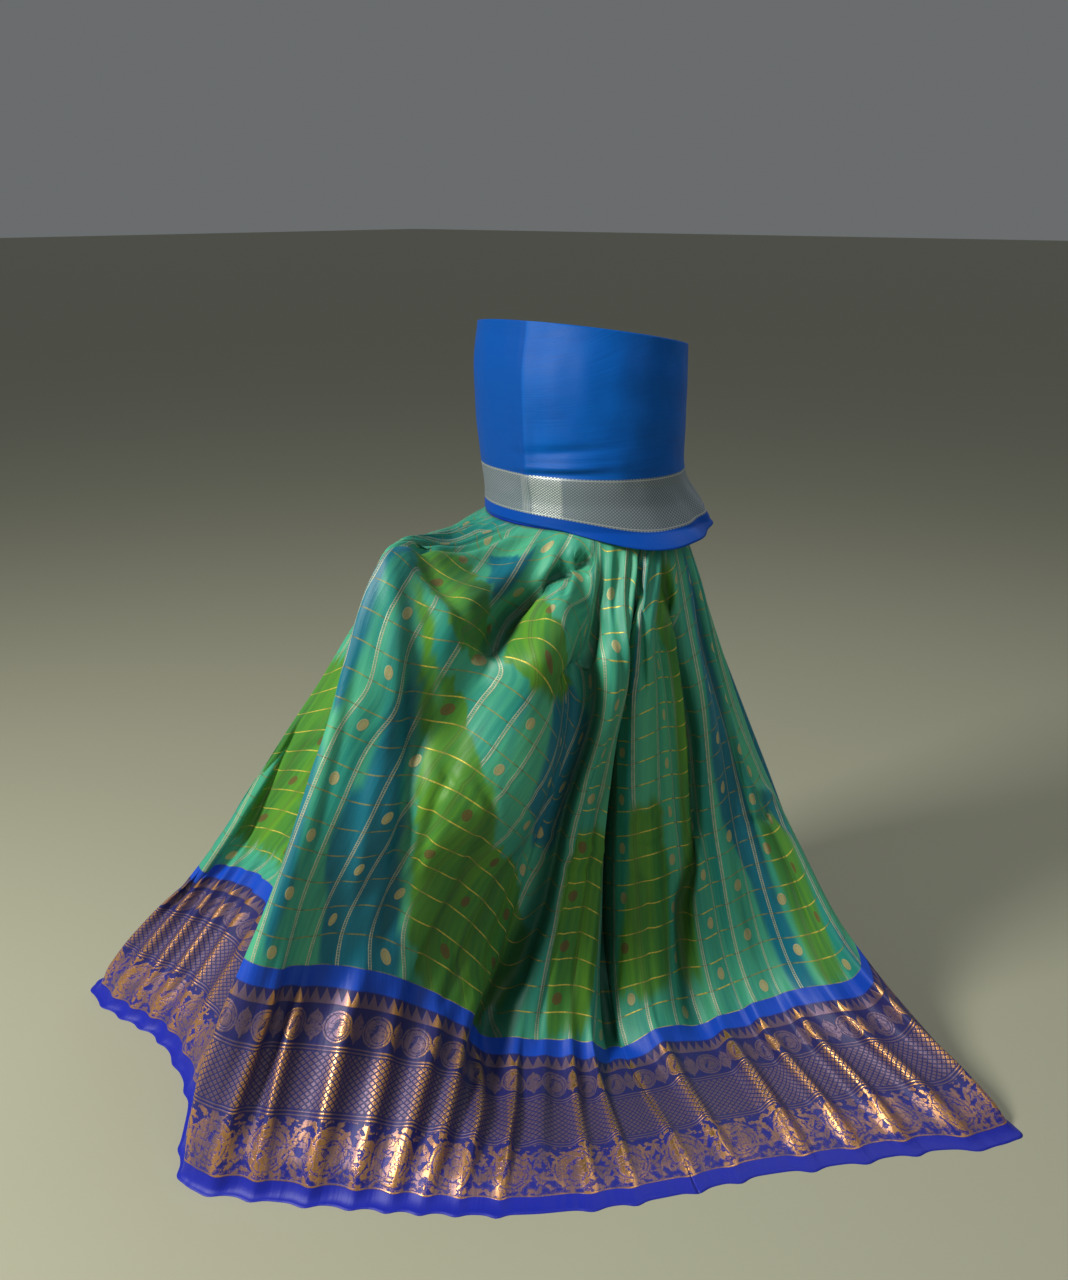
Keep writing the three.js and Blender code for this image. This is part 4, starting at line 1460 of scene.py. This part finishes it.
@dataclass
class Waistband:
    """The plain band that the gathers are sewn into, with two rows of stitches."""

    half_width: float = WAIST_HALF_WIDTH + 1.0
    half_depth: float = WAIST_HALF_DEPTH + 1.0
    top: float = BAND_TOP
    bottom: float = BAND_BOTTOM
    columns: int = 144
    rows: int = 12
    thickness: float = 0.002
    silk: PlainSilk = field(default_factory=lambda: PlainSilk(
        "band_silk", dyed(20, 66, 190), dyed(12, 46, 150)))

    def build(self) -> bpy.types.Object:
        """Make and dress the band.

        Returns:
            The piece.
        """
        turn = np.linspace(0, 360, self.columns + 1)[:, None]
        part = np.linspace(0, 1, self.rows + 1)[None, :]
        z = self.top + (self.bottom - self.top) * part
        stitch = 0.35 * (bump(part - 0.12, 0.04) + bump(part - 0.88, 0.04))
        dimple = stitch * (0.5 + 0.5 * np.sin(np.radians(turn) * 72))
        angle = np.radians(turn)
        points = np.stack([
            (self.half_width - dimple) * np.sin(angle),
            -(self.half_depth - dimple) * np.cos(angle),
            z + 0 * angle,
        ], -1)
        marks = np.stack([np.radians(turn) * 129.0 + 0 * z, z - self.bottom + 0 * turn], -1)
        piece = grid_mesh("waist_band", points, marks, closed=True)
        thicken(piece, self.thickness)
        piece.data.materials.append(self.silk.material())
        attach(piece, "root")
        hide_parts("waistband")
        log.info("waist_band: %d columns", self.columns)
        return piece


@dataclass(frozen=True)
class Lamp:
    """A soft area light: its place, what it points at, its size, power and colour."""

    place: tuple[float, float, float]
    target: tuple[float, float, float]
    size: float
    power: float
    colour: tuple[float, float, float] = (1.0, 1.0, 1.0)


@dataclass
class Studio:
    """A pale floor, soft light and the camera."""

    camera_place: tuple[float, float, float] = (1.120, -1.436, 0.399)
    camera_turn: tuple[float, float, float] = (71.95, 0.0, 40.0)
    lens: float = 37.97
    floor_colour: tuple = dyed(172, 172, 148)
    floor_half: float = 40.0
    world_strength: float = 0.18
    lamps: tuple[Lamp, ...] = (
        Lamp((-0.80, -2.25, 1.5), (0.05, -0.2, -0.4), 0.7, 88.0, (1.0, 0.98, 0.94)),
        Lamp((1.9, -0.6, 1.3), (0.1, 0.0, -0.4), 1.6, 6.0, (0.95, 0.98, 1.0)),
        Lamp((0.3, 1.4, 1.9), (0.0, 0.0, -0.3), 1.4, 14.0),
    )

    def build(self) -> None:
        """Set the floor, the lights, the world and the camera."""
        scene = bpy.context.scene
        shape = bmesh.new()
        bmesh.ops.create_grid(shape, x_segments=1, y_segments=1, size=self.floor_half)
        bmesh.ops.translate(shape, verts=shape.verts[:], vec=Vector((0, 0, -WAIST_HEIGHT / 1000)))
        mesh = bpy.data.meshes.new("studio_floor")
        shape.to_mesh(mesh)
        shape.free()
        floor = bpy.data.objects.new("studio_floor", mesh)
        scene.collection.objects.link(floor)
        loom = Loom("floor_plaster")
        loom.shader.inputs["Base Color"].default_value = self.floor_colour
        loom.shader.inputs["Roughness"].default_value = 0.6
        mesh.materials.append(loom.material)
        for number, lamp in enumerate(self.lamps):
            self.light(number, lamp)
        world = bpy.data.worlds.new("studio")
        world.use_nodes = True
        background = world.node_tree.nodes["Background"]
        background.inputs["Color"].default_value = (0.80, 0.84, 0.86, 1.0)
        background.inputs["Strength"].default_value = self.world_strength
        scene.world = world
        scene.view_settings.view_transform = "Standard"
        view = bpy.data.cameras.new("camera")
        view.lens = self.lens
        camera = bpy.data.objects.new("camera", view)
        camera.location = self.camera_place
        camera.rotation_euler = [math.radians(turn) for turn in self.camera_turn]
        scene.collection.objects.link(camera)
        scene.camera = camera

    @staticmethod
    def light(number: int, lamp: Lamp) -> None:
        """Hang one area light."""
        data = bpy.data.lights.new(f"lamp_{number}", "AREA")
        data.size = lamp.size
        data.energy = lamp.power
        data.color = lamp.colour
        lit = bpy.data.objects.new(f"lamp_{number}", data)
        lit.location = lamp.place
        aim = Vector(lamp.target) - Vector(lamp.place)
        lit.rotation_euler = aim.to_track_quat("-Z", "Y").to_euler()
        bpy.context.scene.collection.objects.link(lit)


def main() -> None:
    """Build the pieces in order."""
    logging.basicConfig(level=logging.INFO, format="%(name)s %(message)s")
    Studio().build()
    Waistband().build()
    Skirt().build()
    Bodice().build()


if __name__ == "__main__":
    main()
